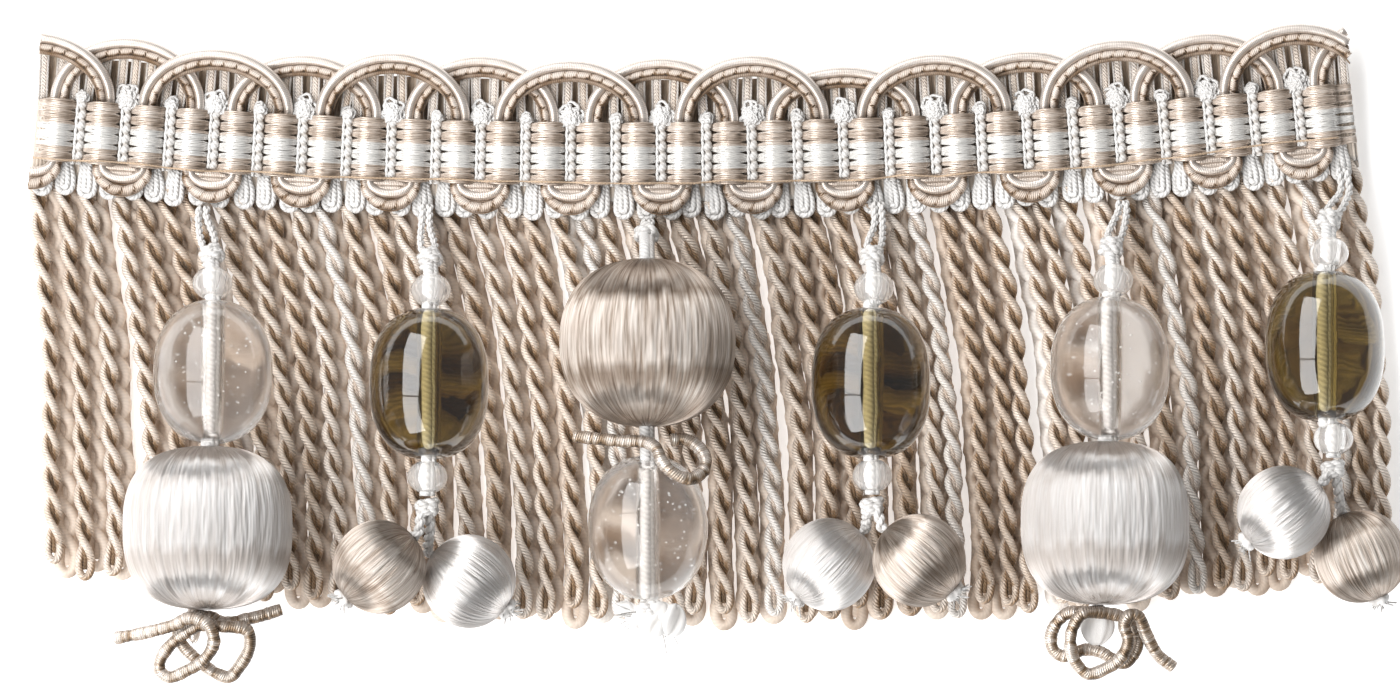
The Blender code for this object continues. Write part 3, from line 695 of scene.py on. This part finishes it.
def build_ground():
    """Woven ground under the band, and the sewing strips of the two rows of cords."""
    made = []
    for name, first, last, low, high, steps, look, slot, nodes in GROUND_ROWS:
        along = np.linspace(LEFT_END + 0.6, RIGHT_END - 0.6, steps)[:, None]
        top, back = np.linspace(last, first, 24), np.linspace(first, last, 8)
        edge = np.clip(np.minimum(top - first, last - top) * 4, 0, 1)
        face = high + 0.1 * np.sin(TAU * along / 1.62) * np.sin(TAU * top / 1.4) * edge
        rings = np.concatenate([place(along, top, face), place(along, back, low)], axis=1)
        down = np.append(top, back)
        white = smooth(down - FOOT_WHITE) if nodes else 0.0
        # Painted shade on the ground behind the arches, near its top
        shade = -0.7 * smooth((9.2 - down) / 0.5) if nodes else 0.0
        piece = Piece()
        piece.add_grid(rings, (along - along[0])[:, 0], np.linspace(0, 1, len(down) + 1), shade, white)
        made.append(piece.make(name, look, *nodes, slot=slot))
    return made


def build_sewing_thread():
    """A thin tan thread that runs along the lower ends of the wraps."""
    along = np.arange(LEFT_END + 0.8, RIGHT_END - 3.0, 0.45)
    nearest = leg_x(np.clip(np.round((along - FIRST_LEG) / (LEG_PITCH * 0.995)), 0, LEG_COUNT - 1))
    rise = np.clip(1 - ((along - nearest) / 2.6) ** 2, 0, 1)
    rng = default_rng(23)
    wander = np.interp(along, along[::11], rng.uniform(-0.28, 0.28, len(along[::11])))
    down = 17.95 + wander - 0.9 * smooth((along - 45) / 40)
    piece = Piece()
    two_ply(piece, place(along, down, 6.05 + 0.78 * rise), 0.09, 0.11, 0.9, 5)
    return piece.make("sewing_thread", "sewing_thread", slot="satin_band")


# Skirt

STRIP_BOTTOM = 21.8
TIP_LINE = -38.9
TIP_LINE_RADIUS = 625.0
TIP_WAVES = ((2.3, 0.0, 0.8), (5.1, 1.0, 0.5))
SWAY_POWER = 2.5
SWAY = 6.5
# How far a cord sways at each end of the trim, and how far from the end it sways fully
LEFT_SWAY = (2.0, 18.0)
RIGHT_SWAY = (4.6, 12.0)
CORD_COUNT = 52
CORD_PITCH = 8.7
LOOP_DROP = 2.7
# The lower right side, on which cords and bows get painted shade
SHADED_SIDE = (0.75, -0.65, 0.0)
# How far a cord starts above its strip's lower edge
ROOT_OVERLAP = 1.2
# helix and ply are radii, flat is height over width, whites are the white cords' places; the plies get
# painted shade on their side toward the core and the lower right, and the core tube is darkened as painted
# shade in the eyes between the plies
Row = namedtuple("Row", (
    "name look first last strip_top root_up up longer helix ply flat sides steps"
    " deepen shaded_share core_radius core_tint jitter whites"
))
SKIRT_ROWS = (
    Row(
        "skirt_rear", "rear_cord", -95.6, 88.2, 10.2, 1.25, 1.25, 0.8, 1.15, 0.9, 0.25, 6, 62,
        0.65, 0.6, 1.85, -0.1, 0.8, (-73.0, -24.6, 40.0, 47.0),
    ),
    Row(
        "skirt_front", "taupe_cord", -97.0, 89.6, 14.5, 2.6, 3.85, 0.0, 0.82, 0.58, 1.0, 8, 80,
        1.2, 0.75, 0.42, -1.15, 0.5, (-55.0, -20.0, 3.5, 28.0, 60.2, 83.0),
    ),
)


def sway(root):
    """How far to the right a cord's tip hangs from its root."""
    ends = ((root - LEFT_END, LEFT_SWAY), (RIGHT_END - root, RIGHT_SWAY))
    return np.minimum(*(
        least + (SWAY - least) * np.minimum(1.0, way / reach) for way, (least, reach) in ends
    ))


def tip_y(number, x):
    """Where a cord ends: a curved line, a little uneven from cord to cord."""
    uneven = sum(height * np.sin(rate * number + start) for rate, start, height in TIP_WAVES)
    return TIP_LINE + x * x / (2 * TIP_LINE_RADIUS) + uneven


def build_skirt(row):
    """A row of bullion cords, each one strand folded at its foot and twisted back on itself."""
    rng = default_rng(83)

    def each(low, high):
        """A random value for each cord."""
        return rng.uniform(low, high, (CORD_COUNT, 1))

    root = np.linspace(row.first, row.last, CORD_COUNT)
    root[1:-1] += row.jitter * rng.uniform(-1, 1, CORD_COUNT - 2)
    root = root[:, None]
    top_x, top_y, _ = np.moveaxis(place(root, STRIP_BOTTOM, 0.0), 2, 0)
    tip_x = top_x + sway(root) + each(-0.5, 0.5)
    number = np.arange(CORD_COUNT)[:, None]
    length = top_y - (tip_y(number + row.strip_top, tip_x) - row.longer)
    straight = length - LOOP_DROP - row.ply
    run = (straight + ROOT_OVERLAP) * np.linspace(0, 1, row.steps) - ROOT_OVERLAP
    share = 1 - (1 - np.clip(run / length, 0, 1)) ** SWAY_POWER
    wave = each(0.1, 0.3) * np.sin(TAU * run / each(18, 34) + each(0, TAU))
    x = top_x + (tip_x - top_x) * share + wave * smooth(run / 6)
    z = row.root_up + (row.up - row.root_up) * smooth(run / 9.0)
    centres = np.stack([x, top_y - run, z], axis=2)
    tangents = unit(np.gradient(centres, axis=1))
    side = np.stack([-tangents[..., 1], tangents[..., 0], 0 * x], axis=2)
    angle = TAU * (straight - run) / (CORD_PITCH + each(-0.5, 0.5))
    offset = row.helix * np.cos(angle)[..., None] * side
    offset[..., 2] = row.helix * row.flat * np.sin(angle)
    turn = np.linspace(0, PI, 16)[1:-1, None]
    wide = np.cos(turn) * (row.helix + 0.4 * np.sin(turn))
    end, end_side, end_down = centres[:, -1:], side[:, -1:], tangents[:, -1:]
    bend = end + wide * end_side + LOOP_DROP * np.sin(turn) * end_down
    strand = np.concatenate([centres + offset, bend, (centres - offset)[:, ::-1]], axis=1)
    # Ways toward the core and the lower right, on which the plies get painted shade
    core_way = unit(offset)
    shade_toward = np.concatenate([-core_way, 0 * bend, core_way[:, ::-1]], axis=1)
    shade_toward = shade_toward + row.shaded_share * unit(SHADED_SIDE)
    shade_toward /= np.maximum(np.linalg.norm(shade_toward, axis=2, keepdims=True), 0.3)
    white = np.zeros((CORD_COUNT, 1, 1))
    white[[np.argmin(np.abs(root - spot)) for spot in row.whites]] = 1.0
    tint = each(-0.3, 0.35)[..., None]
    piece = Piece()
    piece.add_tubes(strand, row.ply, row.sides, tint, white, 1.0, shade_toward, row.deepen)
    # A core tube down each cord, darkened as painted shade in the eyes between the plies
    core = np.concatenate([centres[:, ::3], end + 0.6 * LOOP_DROP * end_down], axis=1)
    core[..., 2] -= 0.15
    piece.add_tubes(core, row.core_radius, 5, row.core_tint, white, row.flat)
    piece.make(f"{row.name}_cords", row.look, row.name)


made_heading = build_gimps() + [build_warp()] + build_columns() + build_edge_loops()
ground, *strips = build_ground()
made_heading += strips + [build_sewing_thread()]
for row in SKIRT_ROWS:
    build_skirt(row)


# Pendants

BORE = 1.2
BOW_RADIUS = 0.9
# Toward the right, and toward the heading, on the photo
RIGHTWARD = np.array([1.0, 0.0, 0.0])
UPWARD = np.array([0.0, 1.0, 0.0])
BUBBLE_COUNT = 130
Form = namedtuple("Form", "half_width half_height squareness bore around down look slot", defaults=[None])
FORMS = {
    "seed": Form(2.9, 2.45, 2.0, BORE, 32, 16, "seed_glass", "clear_glass"),
    "clear_oval": Form(8.6, 10.4, 2.3, BORE, 48, 30, "clear_glass"),
    "dark_oval": Form(8.6, 10.9, 2.45, BORE, 48, 30, "smoked_glass"),
    "white_ball": Form(12.2, 11.7, 2.65, BORE, 192, 40, "white_silk"),
    "taupe_ball": Form(12.7, 12.1, 2.3, BORE, 192, 40, "taupe_silk"),
    "small_white_ball": Form(6.7, 6.6, 2.1, 0.0, 120, 28, "white_silk"),
    "small_taupe_ball": Form(6.7, 6.6, 2.1, 0.0, 120, 28, "taupe_silk"),
}
Strung = namedtuple("Strung", "name pendant form spot tilt")
STRUNG = [Strung(*row) for row in (
    ("bead_1", 1, "seed", (-73.0, 9.8, 11.9), 20),
    ("oval_1", 1, "clear_oval", (-72.8, -3.0, 15.0), 12),
    ("ball_1", 1, "white_ball", (-73.4, -25.4, 18.2), 5),
    ("bead_2", 2, "seed", (-41.5, 8.8, 11.9), 18),
    ("oval_2", 2, "dark_oval", (-41.7, -4.7, 14.5), 9),
    ("bead_2_low", 2, "seed", (-41.9, -18.1, 16.3), 3),
    ("ball_3", 3, "taupe_ball", (-10.3, 1.2, 18.2), 4),
    ("oval_3", 3, "clear_oval", (-10.2, -25.4, 15.4), -15),
    ("bead_4", 4, "seed", (22.4, 9.1, 11.9), 18),
    ("oval_4", 4, "dark_oval", (21.9, -4.6, 14.5), 9),
    ("bead_4_low", 4, "seed", (22.1, -17.9, 16.3), 3),
    ("bead_5", 5, "seed", (56.9, 10.2, 11.9), 20),
    ("oval_5", 5, "clear_oval", (56.3, -2.5, 15.0), 12),
    ("ball_5", 5, "white_ball", (55.5, -24.7, 18.2), 5),
    ("bead_6", 6, "seed", (88.0, 14.1, 11.9), 18),
    ("oval_6", 6, "dark_oval", (87.3, 0.7, 14.5), 9),
    ("bead_6_low", 6, "seed", (88.4, -12.6, 16.3), 3),
)]
StringRow = namedtuple("StringRow", "pendant exit_x exit_down knot_y knot_z")
STRINGS = [StringRow(*row) for row in (
    (1, -73.2, 23.3, 13.9, 9.8),
    (2, -41.7, 21.5, 13.4, 9.4),
    (3, -10.4, 23.3, 16.9, 10.6),
    (4, 22.2, 21.5, 13.7, 9.5),
    (5, 56.7, 23.3, 15.0, 9.8),
    (6, 88.2, 21.5, 19.0, 9.2),
)]
Hung = namedtuple("Hung", "name pendant form spot toward")
HUNG = [Hung(*row) for row in (
    ("ball_2_taupe", 2, "small_taupe_ball", (-48.8, -31.0, 17.0), (-0.75, -0.65, 0.0)),
    ("ball_2_white", 2, "small_white_ball", (-36.0, -33.2, 12.0), (0.80, -0.60, 0.0)),
    ("ball_4_white", 4, "small_white_ball", (15.9, -30.8, 12.0), (-0.70, -0.70, 0.0)),
    ("ball_4_taupe", 4, "small_taupe_ball", (28.8, -30.1, 17.0), (0.74, -0.67, 0.0)),
    ("ball_6_white", 6, "small_white_ball", (81.2, -23.2, 17.0), (-0.78, -0.62, 0.0)),
    ("ball_6_taupe", 6, "small_taupe_ball", (92.6, -29.6, 12.0), (0.40, -0.92, 0.0)),
)]
STRING_EXIT_HEIGHT = 5.25
STRING_RISE = (24.8, 5.7)
STRING_TAIL = 0.5
# The strands side by side in a bore: their offset to the right and up, radius and tint, which darkens toward
# the right as painted shade
STRING_STRANDS = ((-0.3, 0.1, 0.82, 0.8), (0.52, -0.1, 0.5, -0.2), (0.86, -0.3, 0.24, -0.7))
TWIN_KNOT_DROP = 0.9
TWIN_KNOT_HEIGHT = 15.9
TUFT_LUMPS = (
    (-13.2, -37.2, 13.6, 1.9, 1.1), (-11.4, -38.2, 13.8, 1.9, 1.7), (-9.2, -39.0, 14.2, 2.0, 2.2),
    (-6.8, -38.8, 14.0, 2.0, 2.4), (-8.4, -37.6, 14.6, 2.2, 1.5),
)
BOW_ROUTES = {
    "bow_1": (
        (-86.7, -41.3, 15.0), (-82.5, -40.5, 17.0), (-78.4, -39.4, 18.8), (-75.9, -38.3, 19.7),
        (-73.3, -39.2, 19.8), (-72.5, -41.9, 18.8), (-74.1, -44.5, 17.8), (-76.6, -46.0, 17.0),
        (-78.9, -46.9, 16.2), (-80.4, -45.9, 15.8), (-79.9, -43.6, 16.4), (-77.4, -41.0, 17.6),
        (-74.5, -39.4, 18.2), (-70.9, -39.6, 18.2), (-67.8, -40.1, 17.6), (-67.5, -42.7, 16.4),
        (-68.9, -45.3, 15.4), (-70.5, -46.9, 14.8), (-72.8, -46.1, 15.0), (-74.9, -44.5, 15.4),
        (-76.9, -42.6, 15.9), (-77.8, -40.4, 16.1), (-76.0, -38.4, 16.4), (-73.1, -38.2, 16.5),
        (-71.0, -39.1, 16.2), (-66.3, -38.2, 15.6), (-63.0, -37.2, 15.0),
    ),
    "bow_3": (
        (-20.9, -12.2, 20.0), (-17.3, -12.6, 20.2), (-13.9, -12.9, 20.4), (-10.9, -13.0, 20.6),
        (-9.0, -13.9, 21.2), (-8.2, -15.7, 22.4), (-6.6, -17.4, 22.8), (-4.3, -18.3, 22.2),
        (-2.4, -17.4, 20.6), (-1.9, -15.5, 19.4), (-3.0, -13.7, 18.8), (-4.8, -12.7, 18.6),
        (-6.8, -12.8, 18.9),
    ),
    "bow_5": (
        (53.1, -37.6, 15.6), (50.3, -37.7, 15.6), (48.5, -39.3, 15.6), (47.8, -41.3, 15.2),
        (48.3, -43.2, 15.0), (50.0, -43.9, 15.0), (52.6, -43.0, 15.0), (54.9, -43.3, 15.2),
        (58.2, -44.9, 15.2), (60.1, -43.0, 15.2), (60.2, -40.4, 15.4), (58.4, -38.4, 15.9),
        (55.1, -37.6, 17.2), (52.3, -37.7, 18.5), (50.9, -39.6, 18.6), (50.5, -41.8, 18.2),
        (51.1, -44.4, 17.4), (53.1, -46.4, 16.8), (55.7, -45.6, 17.0), (57.8, -44.1, 17.4),
        (58.8, -41.7, 18.0), (58.2, -39.4, 18.5), (58.9, -37.9, 18.7), (60.4, -38.2, 18.2),
        (61.4, -40.6, 16.8), (63.1, -43.6, 15.4), (65.4, -45.5, 14.6),
    ),
}

# Soft ends of strings in the middle of two bows: their places and half sizes
SOFT_ENDS = {
    "bow_1": ((-75.5, -39.3, 16.4), UPWARD, (1.2, 0.8, 2.6)),
    "string_5": ((54.6, -39.4, 15.5), UPWARD, (2.3, 1.2, 2.9)),
}
# How much painted shade the wound silk gets from its lower to its upper pole, and on its left side
SILK_SHADE = {
    "white_silk": (
        (-1.0, 0.6), (-0.94, 0.9), (-0.85, 0.8), (-0.76, 0.0), (-0.66, 0.35), (-0.5, 0.9),
        (-0.36, 0.9), (-0.26, 0.0), (0.46, 0.0), (0.56, 0.6), (0.64, 0.25), (0.7, 0.0),
        (0.76, 0.2), (0.83, 0.9), (1.0, 0.9),
    ),
    "taupe_silk": (
        (-1.0, 0.6), (-0.84, 0.6), (-0.74, 0.4), (-0.62, 0.3), (-0.5, 0.75), (-0.36, 0.75),
        (-0.26, 0.0), (0.46, 0.0), (0.56, 0.9), (0.66, 0.5), (0.76, 0.5), (0.86, 0.8), (1.0, 0.9),
    ),
}
# Ragged edges of the painted shade zones, flutes between filament bundles, painted shade on the left side,
# and how much of the pole shade small balls get
SILK_RAGGED_EDGE = 0.04
SILK_FLUTES = 0.15
SILK_FLANK = {"white_silk": 0.5, "taupe_silk": 0.1}
SMALL_SILK_SHADE = {"white_silk": 0.15, "taupe_silk": 0.8}


def axes(axis):
    """Three directions at right angles, the last along an axis."""
    up = unit(axis)
    side = unit(np.cross((0.0, 0.0, 1.0), up))
    return np.stack([side, np.cross(up, side), up])


def points_round(middle, axis, angle, wide, deep, high):
    """Points round an axis, from their distances to the side, upward and along it."""
    side, lift, up = axes(axis)
    return (
        np.asarray(middle, float)
        + np.asarray(wide * np.cos(angle))[..., None] * side
        + np.asarray(deep * np.sin(angle))[..., None] * lift
        + np.asarray(high)[..., None] * up
    )


def axis_of(row):
    """Way that the upper end of a bead or ball points."""
    if isinstance(row, Hung):
        return -unit(row.toward)
    tilt = math.radians(row.tilt)
    return np.array([0.0, math.cos(tilt), -math.sin(tilt)])


def outline(form):
    """Radii and heights of a bead or ball from its lower to its upper end."""
    start = math.acos((max(form.bore, 0.25) / form.half_width) ** (form.squareness / 2))
    turn = start * np.linspace(-1, 1, form.down + 1)
    radius = form.half_width * np.cos(turn) ** (2 / form.squareness)
    return radius, form.half_height * np.abs(np.sin(turn)) ** (2 / form.squareness) * np.sign(turn)


def add_turned(piece, form, middle, axis, seed):
    """A bead or ball turned about its axis, with a bore or closed ends."""
    radius, height = outline(form)
    if form.bore:
        run = np.linspace(1, -1, 8)[1:-1]
        radius = np.append(radius, np.full(6, form.bore))
        height = np.append(height, run * height[-1])
    angle = ring(form.around)
    ragged = default_rng(seed).normal(0, 1, form.around)
    ragged = (ragged + np.roll(ragged, 1) + np.roll(ragged, 2)) / 1.7
    radii, heights = radius[:, None], height[:, None]
    shade_dimmed = np.zeros((len(radius), form.around))
    # Wound silk holds its painted shade, towards the poles and on the left side, as its white value
    if form.look in SILK_SHADE:
        share = heights / form.half_height + SILK_RAGGED_EDGE * ragged
        pole = np.interp(share, *zip(*SILK_SHADE[form.look]))
        pole *= 1.0 if form.bore else SMALL_SILK_SHADE[form.look]
        side, lift, _ = axes(axis)
        left = np.clip(-(np.cos(angle) * side[0] + np.sin(angle) * lift[0]), 0, 1)
        flank = SILK_FLANK[form.look] * smooth((left - 0.15) / 0.7)
        shade_dimmed = 1 - (1 - pole) * (1 - flank)
        radii = radii - SILK_FLUTES * (0.6 + 0.4 * ragged) * (radii > form.bore + 0.5)
    lengths = np.append(0, np.cumsum(np.hypot(np.diff(radius), np.diff(height))))
    around = np.arange(form.around + 1) / form.around
    grid = points_round(middle, axis, angle, radii, radii, heights)
    piece.add_grid(grid, lengths, around, seed / 10, shade_dimmed, loop=bool(form.bore))


def add_bubbles(piece, form, middle, axis, seed):
    """Small round bubbles inside the glass."""
    rng = default_rng(seed)
    turn = np.linspace(-0.5, 0.5, 6)[1:-1, None] * PI
    angle = ring(6)
    for _ in range(BUBBLE_COUNT):
        share = rng.uniform(-0.85, 0.85)
        reach = form.half_width * math.sqrt(1 - share * share)
        out = rng.uniform(form.bore + 0.9, max(reach - 0.5, form.bore + 1.0))
        spin = rng.uniform(0, TAU)
        spot = points_round(middle, axis, spin, out, out, share * form.half_height * 0.9)
        size = rng.uniform(0.06, 0.15)
        wide = size * np.cos(turn)
        grid = points_round(spot, axis, angle, wide, wide, size * np.sin(turn))
        piece.add_grid(grid, turn[:, 0], np.arange(7) / 6)


def build_turned():
    """Beads and balls in their places."""
    for seed, row in enumerate(STRUNG + HUNG):
        form = FORMS[row.form]
        piece = Piece()
        add_turned(piece, form, row.spot, axis_of(row), seed)
        if row.form == "clear_oval":
            bubbles = Piece()
            add_bubbles(bubbles, form, row.spot, axis_of(row), seed)
            bubbles.make(f"{row.name}_bubbles", "glass_bubble", slot=form.look)
        wound = form.look in SILK_SHADE
        name = f"{row.name}_{'wound' if wound else 'glass'}"
        piece.make(name, form.look, row.name, slot=form.slot).visible_shadow = wound


def curve(points, step):
    """A smooth path through points, with even steps."""
    points = np.asarray(points, float)
    padded = np.concatenate([[2 * points[0] - points[1]], points, [2 * points[-1] - points[-2]]])
    share = np.linspace(0, 1, 12, endpoint=False)[:, None]
    parts = []
    for a, b, c, d in zip(padded, padded[1:], padded[2:], padded[3:]):
        parts.append(0.5 * (
            2 * b + (c - a) * share + (2 * a - 5 * b + 4 * c - d) * share ** 2
            + (3 * b - a - 3 * c + d) * share ** 3
        ))
    return resample(np.concatenate(parts + [points[-1:]]), step)


def add_tuft(piece, root, toward, count, length, fan, thickness, seed):
    """Frayed fibres that fan out from one place."""
    rng = default_rng(seed)
    side, lift, up = axes(toward)
    run = np.linspace(0, 1, 9)[:, None]
    for _ in range(count):
        lean = rng.normal(0, fan, 2)
        aim = unit(up + lean[0] * side + lean[1] * lift)
        curl = rng.normal(0, 0.35, 2)
        reach = length * rng.uniform(0.45, 1.0)
        path = (
            np.asarray(root) + rng.normal(0, 0.25, 3) + reach * run * aim
            + reach * run ** 2 * (curl[0] * side + curl[1] * lift)
        )
        path[:, 2] = np.maximum(path[:, 2], 0.3)
        piece.add_tubes(path, thickness * (1 - 0.4 * run), 5, rng.uniform(-0.5, 0.9))


def add_lump(piece, middle, axis, sizes, folds, seed):
    """A soft rounded lump with shallow folds that run along its axis, painted darker in the hollows of the
    folds as shade.
    """
    rng = default_rng(seed)
    rows, columns = 18, 36
    turn = np.linspace(-0.5, 0.5, rows + 2)[1:-1, None] * PI
    angle = ring(columns)
    relief = sum(
        np.sin(rate * angle + rng.uniform(0, TAU) + rng.uniform(-2.5, 2.5) * turn) / rate ** 0.5
        for rate in (2, 3, 5, 9)
    )
    swell = 1 + folds * relief * np.cos(turn)
    wide, deep = (size * swell * np.cos(turn) for size in sizes[:2])
    high = sizes[2] * (1 + 0.5 * folds * relief) * np.sin(turn)
    grid = points_round(middle, axis, angle, wide, deep, high)
    piece.add_grid(grid, np.zeros(rows), np.zeros(columns + 1), 0.5 + 0.5 * np.clip(relief, -1, 0.6))


def add_knot(piece, middle, axis, radius, thickness, turns, rise):
    """Strands wound round and over each other into a small knot."""
    turn = np.linspace(0, TAU * turns, int(26 * turns))
    wide = radius * (1 + 0.18 * np.sin(2.3 * turn))
    path = points_round(middle, axis, turn, wide, 0.85 * wide, rise * np.sin(0.37 * turn + 0.4))
    two_ply(piece, path, thickness * 0.5, thickness * 0.62, 2.4, 7, 0.3)


def build_strings():
    """Strings from the heading, through their knots and the bores."""
    for row in STRINGS:
        piece = Piece()
        start = place(row.exit_x, row.exit_down, STRING_EXIT_HEIGHT)
        rise = place(row.exit_x, *STRING_RISE)
        knot = np.array([row.exit_x, row.knot_y, row.knot_z])
        toward = unit(knot - rise)
        for hand in (-1, 1):
            aside = hand * RIGHTWARD
            path = curve([
                start + aside * 0.5, rise + aside * 0.6, (rise + knot) / 2 + aside,
                knot - toward * 1.2 + aside * 0.9, knot + aside * 0.5,
            ], 0.3)
            two_ply(piece, path, 0.27, 0.33, 2.2, 7, 0.4, hand)
        add_knot(piece, knot, toward, 1.0, 0.75, 2.6, 0.8)
        points = [knot]
        for strung in STRUNG:
            if strung.pendant == row.pendant:
                reach = axis_of(strung) * outline(FORMS[strung.form])[1][-1]
                points += [strung.spot + side * reach for side in (1, 0, -1)]
                last = strung.form
        if not last.endswith("ball"):
            points.append(points[-1] - STRING_TAIL * UPWARD)
        path = curve(points, 0.4)
        # Strings through the dark glass are painted lighter
        painted_light = 0.0 if row.pendant % 2 else 0.6
        for aside, up, thickness, tint in STRING_STRANDS:
            piece.add_tubes(path + np.array([aside, 0.0, up]), thickness, 12, tint + painted_light)
        name = f"string_{row.pendant}"
        if name in SOFT_ENDS:
            add_lump(piece, *SOFT_ENDS[name], 0.14, 8)
        piece.make(f"{name}_cord", "white_yarn", name)


def build_twins():
    """Pairs of small balls on a twin cord, with frayed ends at their poles."""
    for pendant in (2, 4, 6):
        bead = [row for row in STRUNG if row.pendant == pendant][-1]
        reach = FORMS[bead.form].half_height + STRING_TAIL + TWIN_KNOT_DROP
        knot = np.array([bead.spot[0], bead.spot[1] - reach, TWIN_KNOT_HEIGHT])
        piece = Piece()
        add_knot(piece, knot - 0.6 * UPWARD, UPWARD, 0.95, 0.75, 2.6, 0.7)
        for ball in [row for row in HUNG if row.pendant == pendant]:
            axis = axis_of(ball)
            high = FORMS[ball.form].half_height
            seat = ball.spot + axis * (high - 0.1)
            path = curve([knot, (knot + seat) / 2 + (0.0, 0.0, 0.6), seat + axis, seat], 0.3)
            two_ply(piece, path, 0.38, 0.46, 2.8, 7, 0.4)
            foot = ball.spot - axis * (high - 0.2)
            add_lump(piece, foot - 0.5 * axis, axis, (1.5, 1.3, 0.8), 0.2, pendant)
            add_tuft(piece, foot, -axis, 22, 2.3, 0.5, 0.17, pendant * 7 + int(ball.spot[2]))
        piece.make(f"twin_{pendant}_cord", "white_yarn", f"twin_{pendant}")


def build_bows():
    """Bows of wrapped cord under the big balls."""
    rng = default_rng(41)
    for name, route in BOW_ROUTES.items():
        piece = Piece()
        path = curve(route, 0.14)[None]
        lengths = path_lengths(path)[0]
        radius = np.full((len(lengths), 1), BOW_RADIUS)
        tint = np.full((len(lengths), 1), 0.1)
        for step, swell, shade in ((1.2, 0.06, 0.2), (0.34, 0.06, 0.7)):
            marks = np.arange(0, lengths[-1] + step, step)
            wrap = np.interp(lengths, marks, rng.uniform(-1, 1, len(marks)))[:, None]
            radius += swell * wrap
            tint += shade * wrap
        # Painted shade on the lower right side of the cord
        shaded = np.broadcast_to(unit(SHADED_SIDE), path.shape)
        piece.add_tubes(path, radius, 12, tint, shade_toward=shaded, deepen=2.0)
        if name in SOFT_ENDS:
            add_lump(piece, *SOFT_ENDS[name], 0.14, 5)
        piece.make(f"{name}_cord", "bow_cord", name)


def build_tuft():
    """Knotted and frayed white end of the third string."""
    piece = Piece()
    knot = np.array([-9.9, -38.0, 14.0])
    add_knot(piece, knot + (0.0, 0.9, 0.4), UPWARD, 0.9, 0.8, 1.8, 0.5)
    for seed, (*middle, wide, high) in enumerate(TUFT_LUMPS):
        add_lump(piece, middle, (0.3, 1.0, 0.0), (wide, 0.8 * high, high), 0.16, seed)
    add_tuft(piece, knot, (-1.0, -0.1, 0.0), 12, 5.2, 0.25, 0.12, 1)
    add_tuft(piece, knot, (1.0, -0.45, 0.0), 8, 5.4, 0.25, 0.12, 2)
    piece.make("tuft_3_frayed", "white_yarn", "tuft_3")


for build in (build_turned, build_strings, build_twins, build_bows, build_tuft):
    build()


# Floor, lights and camera

LAMP_AZIMUTH = -36
UPPER_LAMP_ELEVATION = 30
LOWER_LAMP_ELEVATION = -26.3
LAMP_DISTANCE = 1.3
LAMP_SIZE = (0.8, 1.35)
LAMP_POWER = 16.5
WORLD_STRENGTH = 0.27
FLOOR_GLOW = 0.45
CAMERA_X = -2.69
CAMERA_Y = 0.44
CAMERA_HEIGHT = 1600.0
SEEN_WIDTH = 203.4
SENSOR = 36.0


def build_floor():
    """A plain pale floor."""
    made = Shader("pale_floor", 0.9, 1.4)
    grain = made.noise(made.place(), 0.8, 3.0)
    made.set("Base Color", made.mix(grain, (0.93, 0.93, 0.93), (0.96, 0.96, 0.96)))
    made.set("Emission Color", (1.0, 1.0, 1.0, 1.0))
    made.set("Emission Strength", FLOOR_GLOW)
    bpy.ops.mesh.primitive_grid_add(x_subdivisions=8, y_subdivisions=8, size=4.0)
    floor = bpy.context.object
    floor.name = "floor"
    floor.data.materials.append(made.material)


def add_lamp(name, elevation):
    """A soft light at the upper left that faces the middle of the trim."""
    data = bpy.data.lights.new(name, "AREA")
    data.shape = "RECTANGLE"
    data.size, data.size_y = LAMP_SIZE
    data.energy = LAMP_POWER
    lamp = add_object(name, data)
    lamp.visible_transmission = False
    turn, lift = math.radians(LAMP_AZIMUTH), math.radians(elevation)
    lamp.location = (
        LAMP_DISTANCE * math.sin(turn) * math.cos(lift),
        LAMP_DISTANCE * math.sin(lift),
        LAMP_DISTANCE * math.cos(turn) * math.cos(lift),
    )
    back = lamp.location.normalized()
    side = Vector((0.0, 1.0, 0.0)).cross(back).normalized()
    lamp.rotation_euler = Matrix((side, back.cross(side), back)).transposed().to_euler()


build_floor()
add_lamp("softbox_upper", UPPER_LAMP_ELEVATION)
add_lamp("softbox_lower", LOWER_LAMP_ELEVATION)
scene.world = bpy.data.worlds.new("studio")
scene.world.use_nodes = True
background = scene.world.node_tree.nodes["Background"].inputs
background["Color"].default_value = (1.0, 1.0, 1.0, 1.0)
background["Strength"].default_value = WORLD_STRENGTH
view = bpy.data.cameras.new("camera")
view.sensor_width = SENSOR
view.lens = SENSOR * CAMERA_HEIGHT / SEEN_WIDTH
view.clip_start, view.clip_end = 0.1, 20.0
camera = add_object("camera", view)
camera.location = (CAMERA_X * MM, CAMERA_Y * MM, CAMERA_HEIGHT * MM)
scene.camera = camera
scene.view_settings.view_transform = "Standard"

bpy.context.view_layer.update()
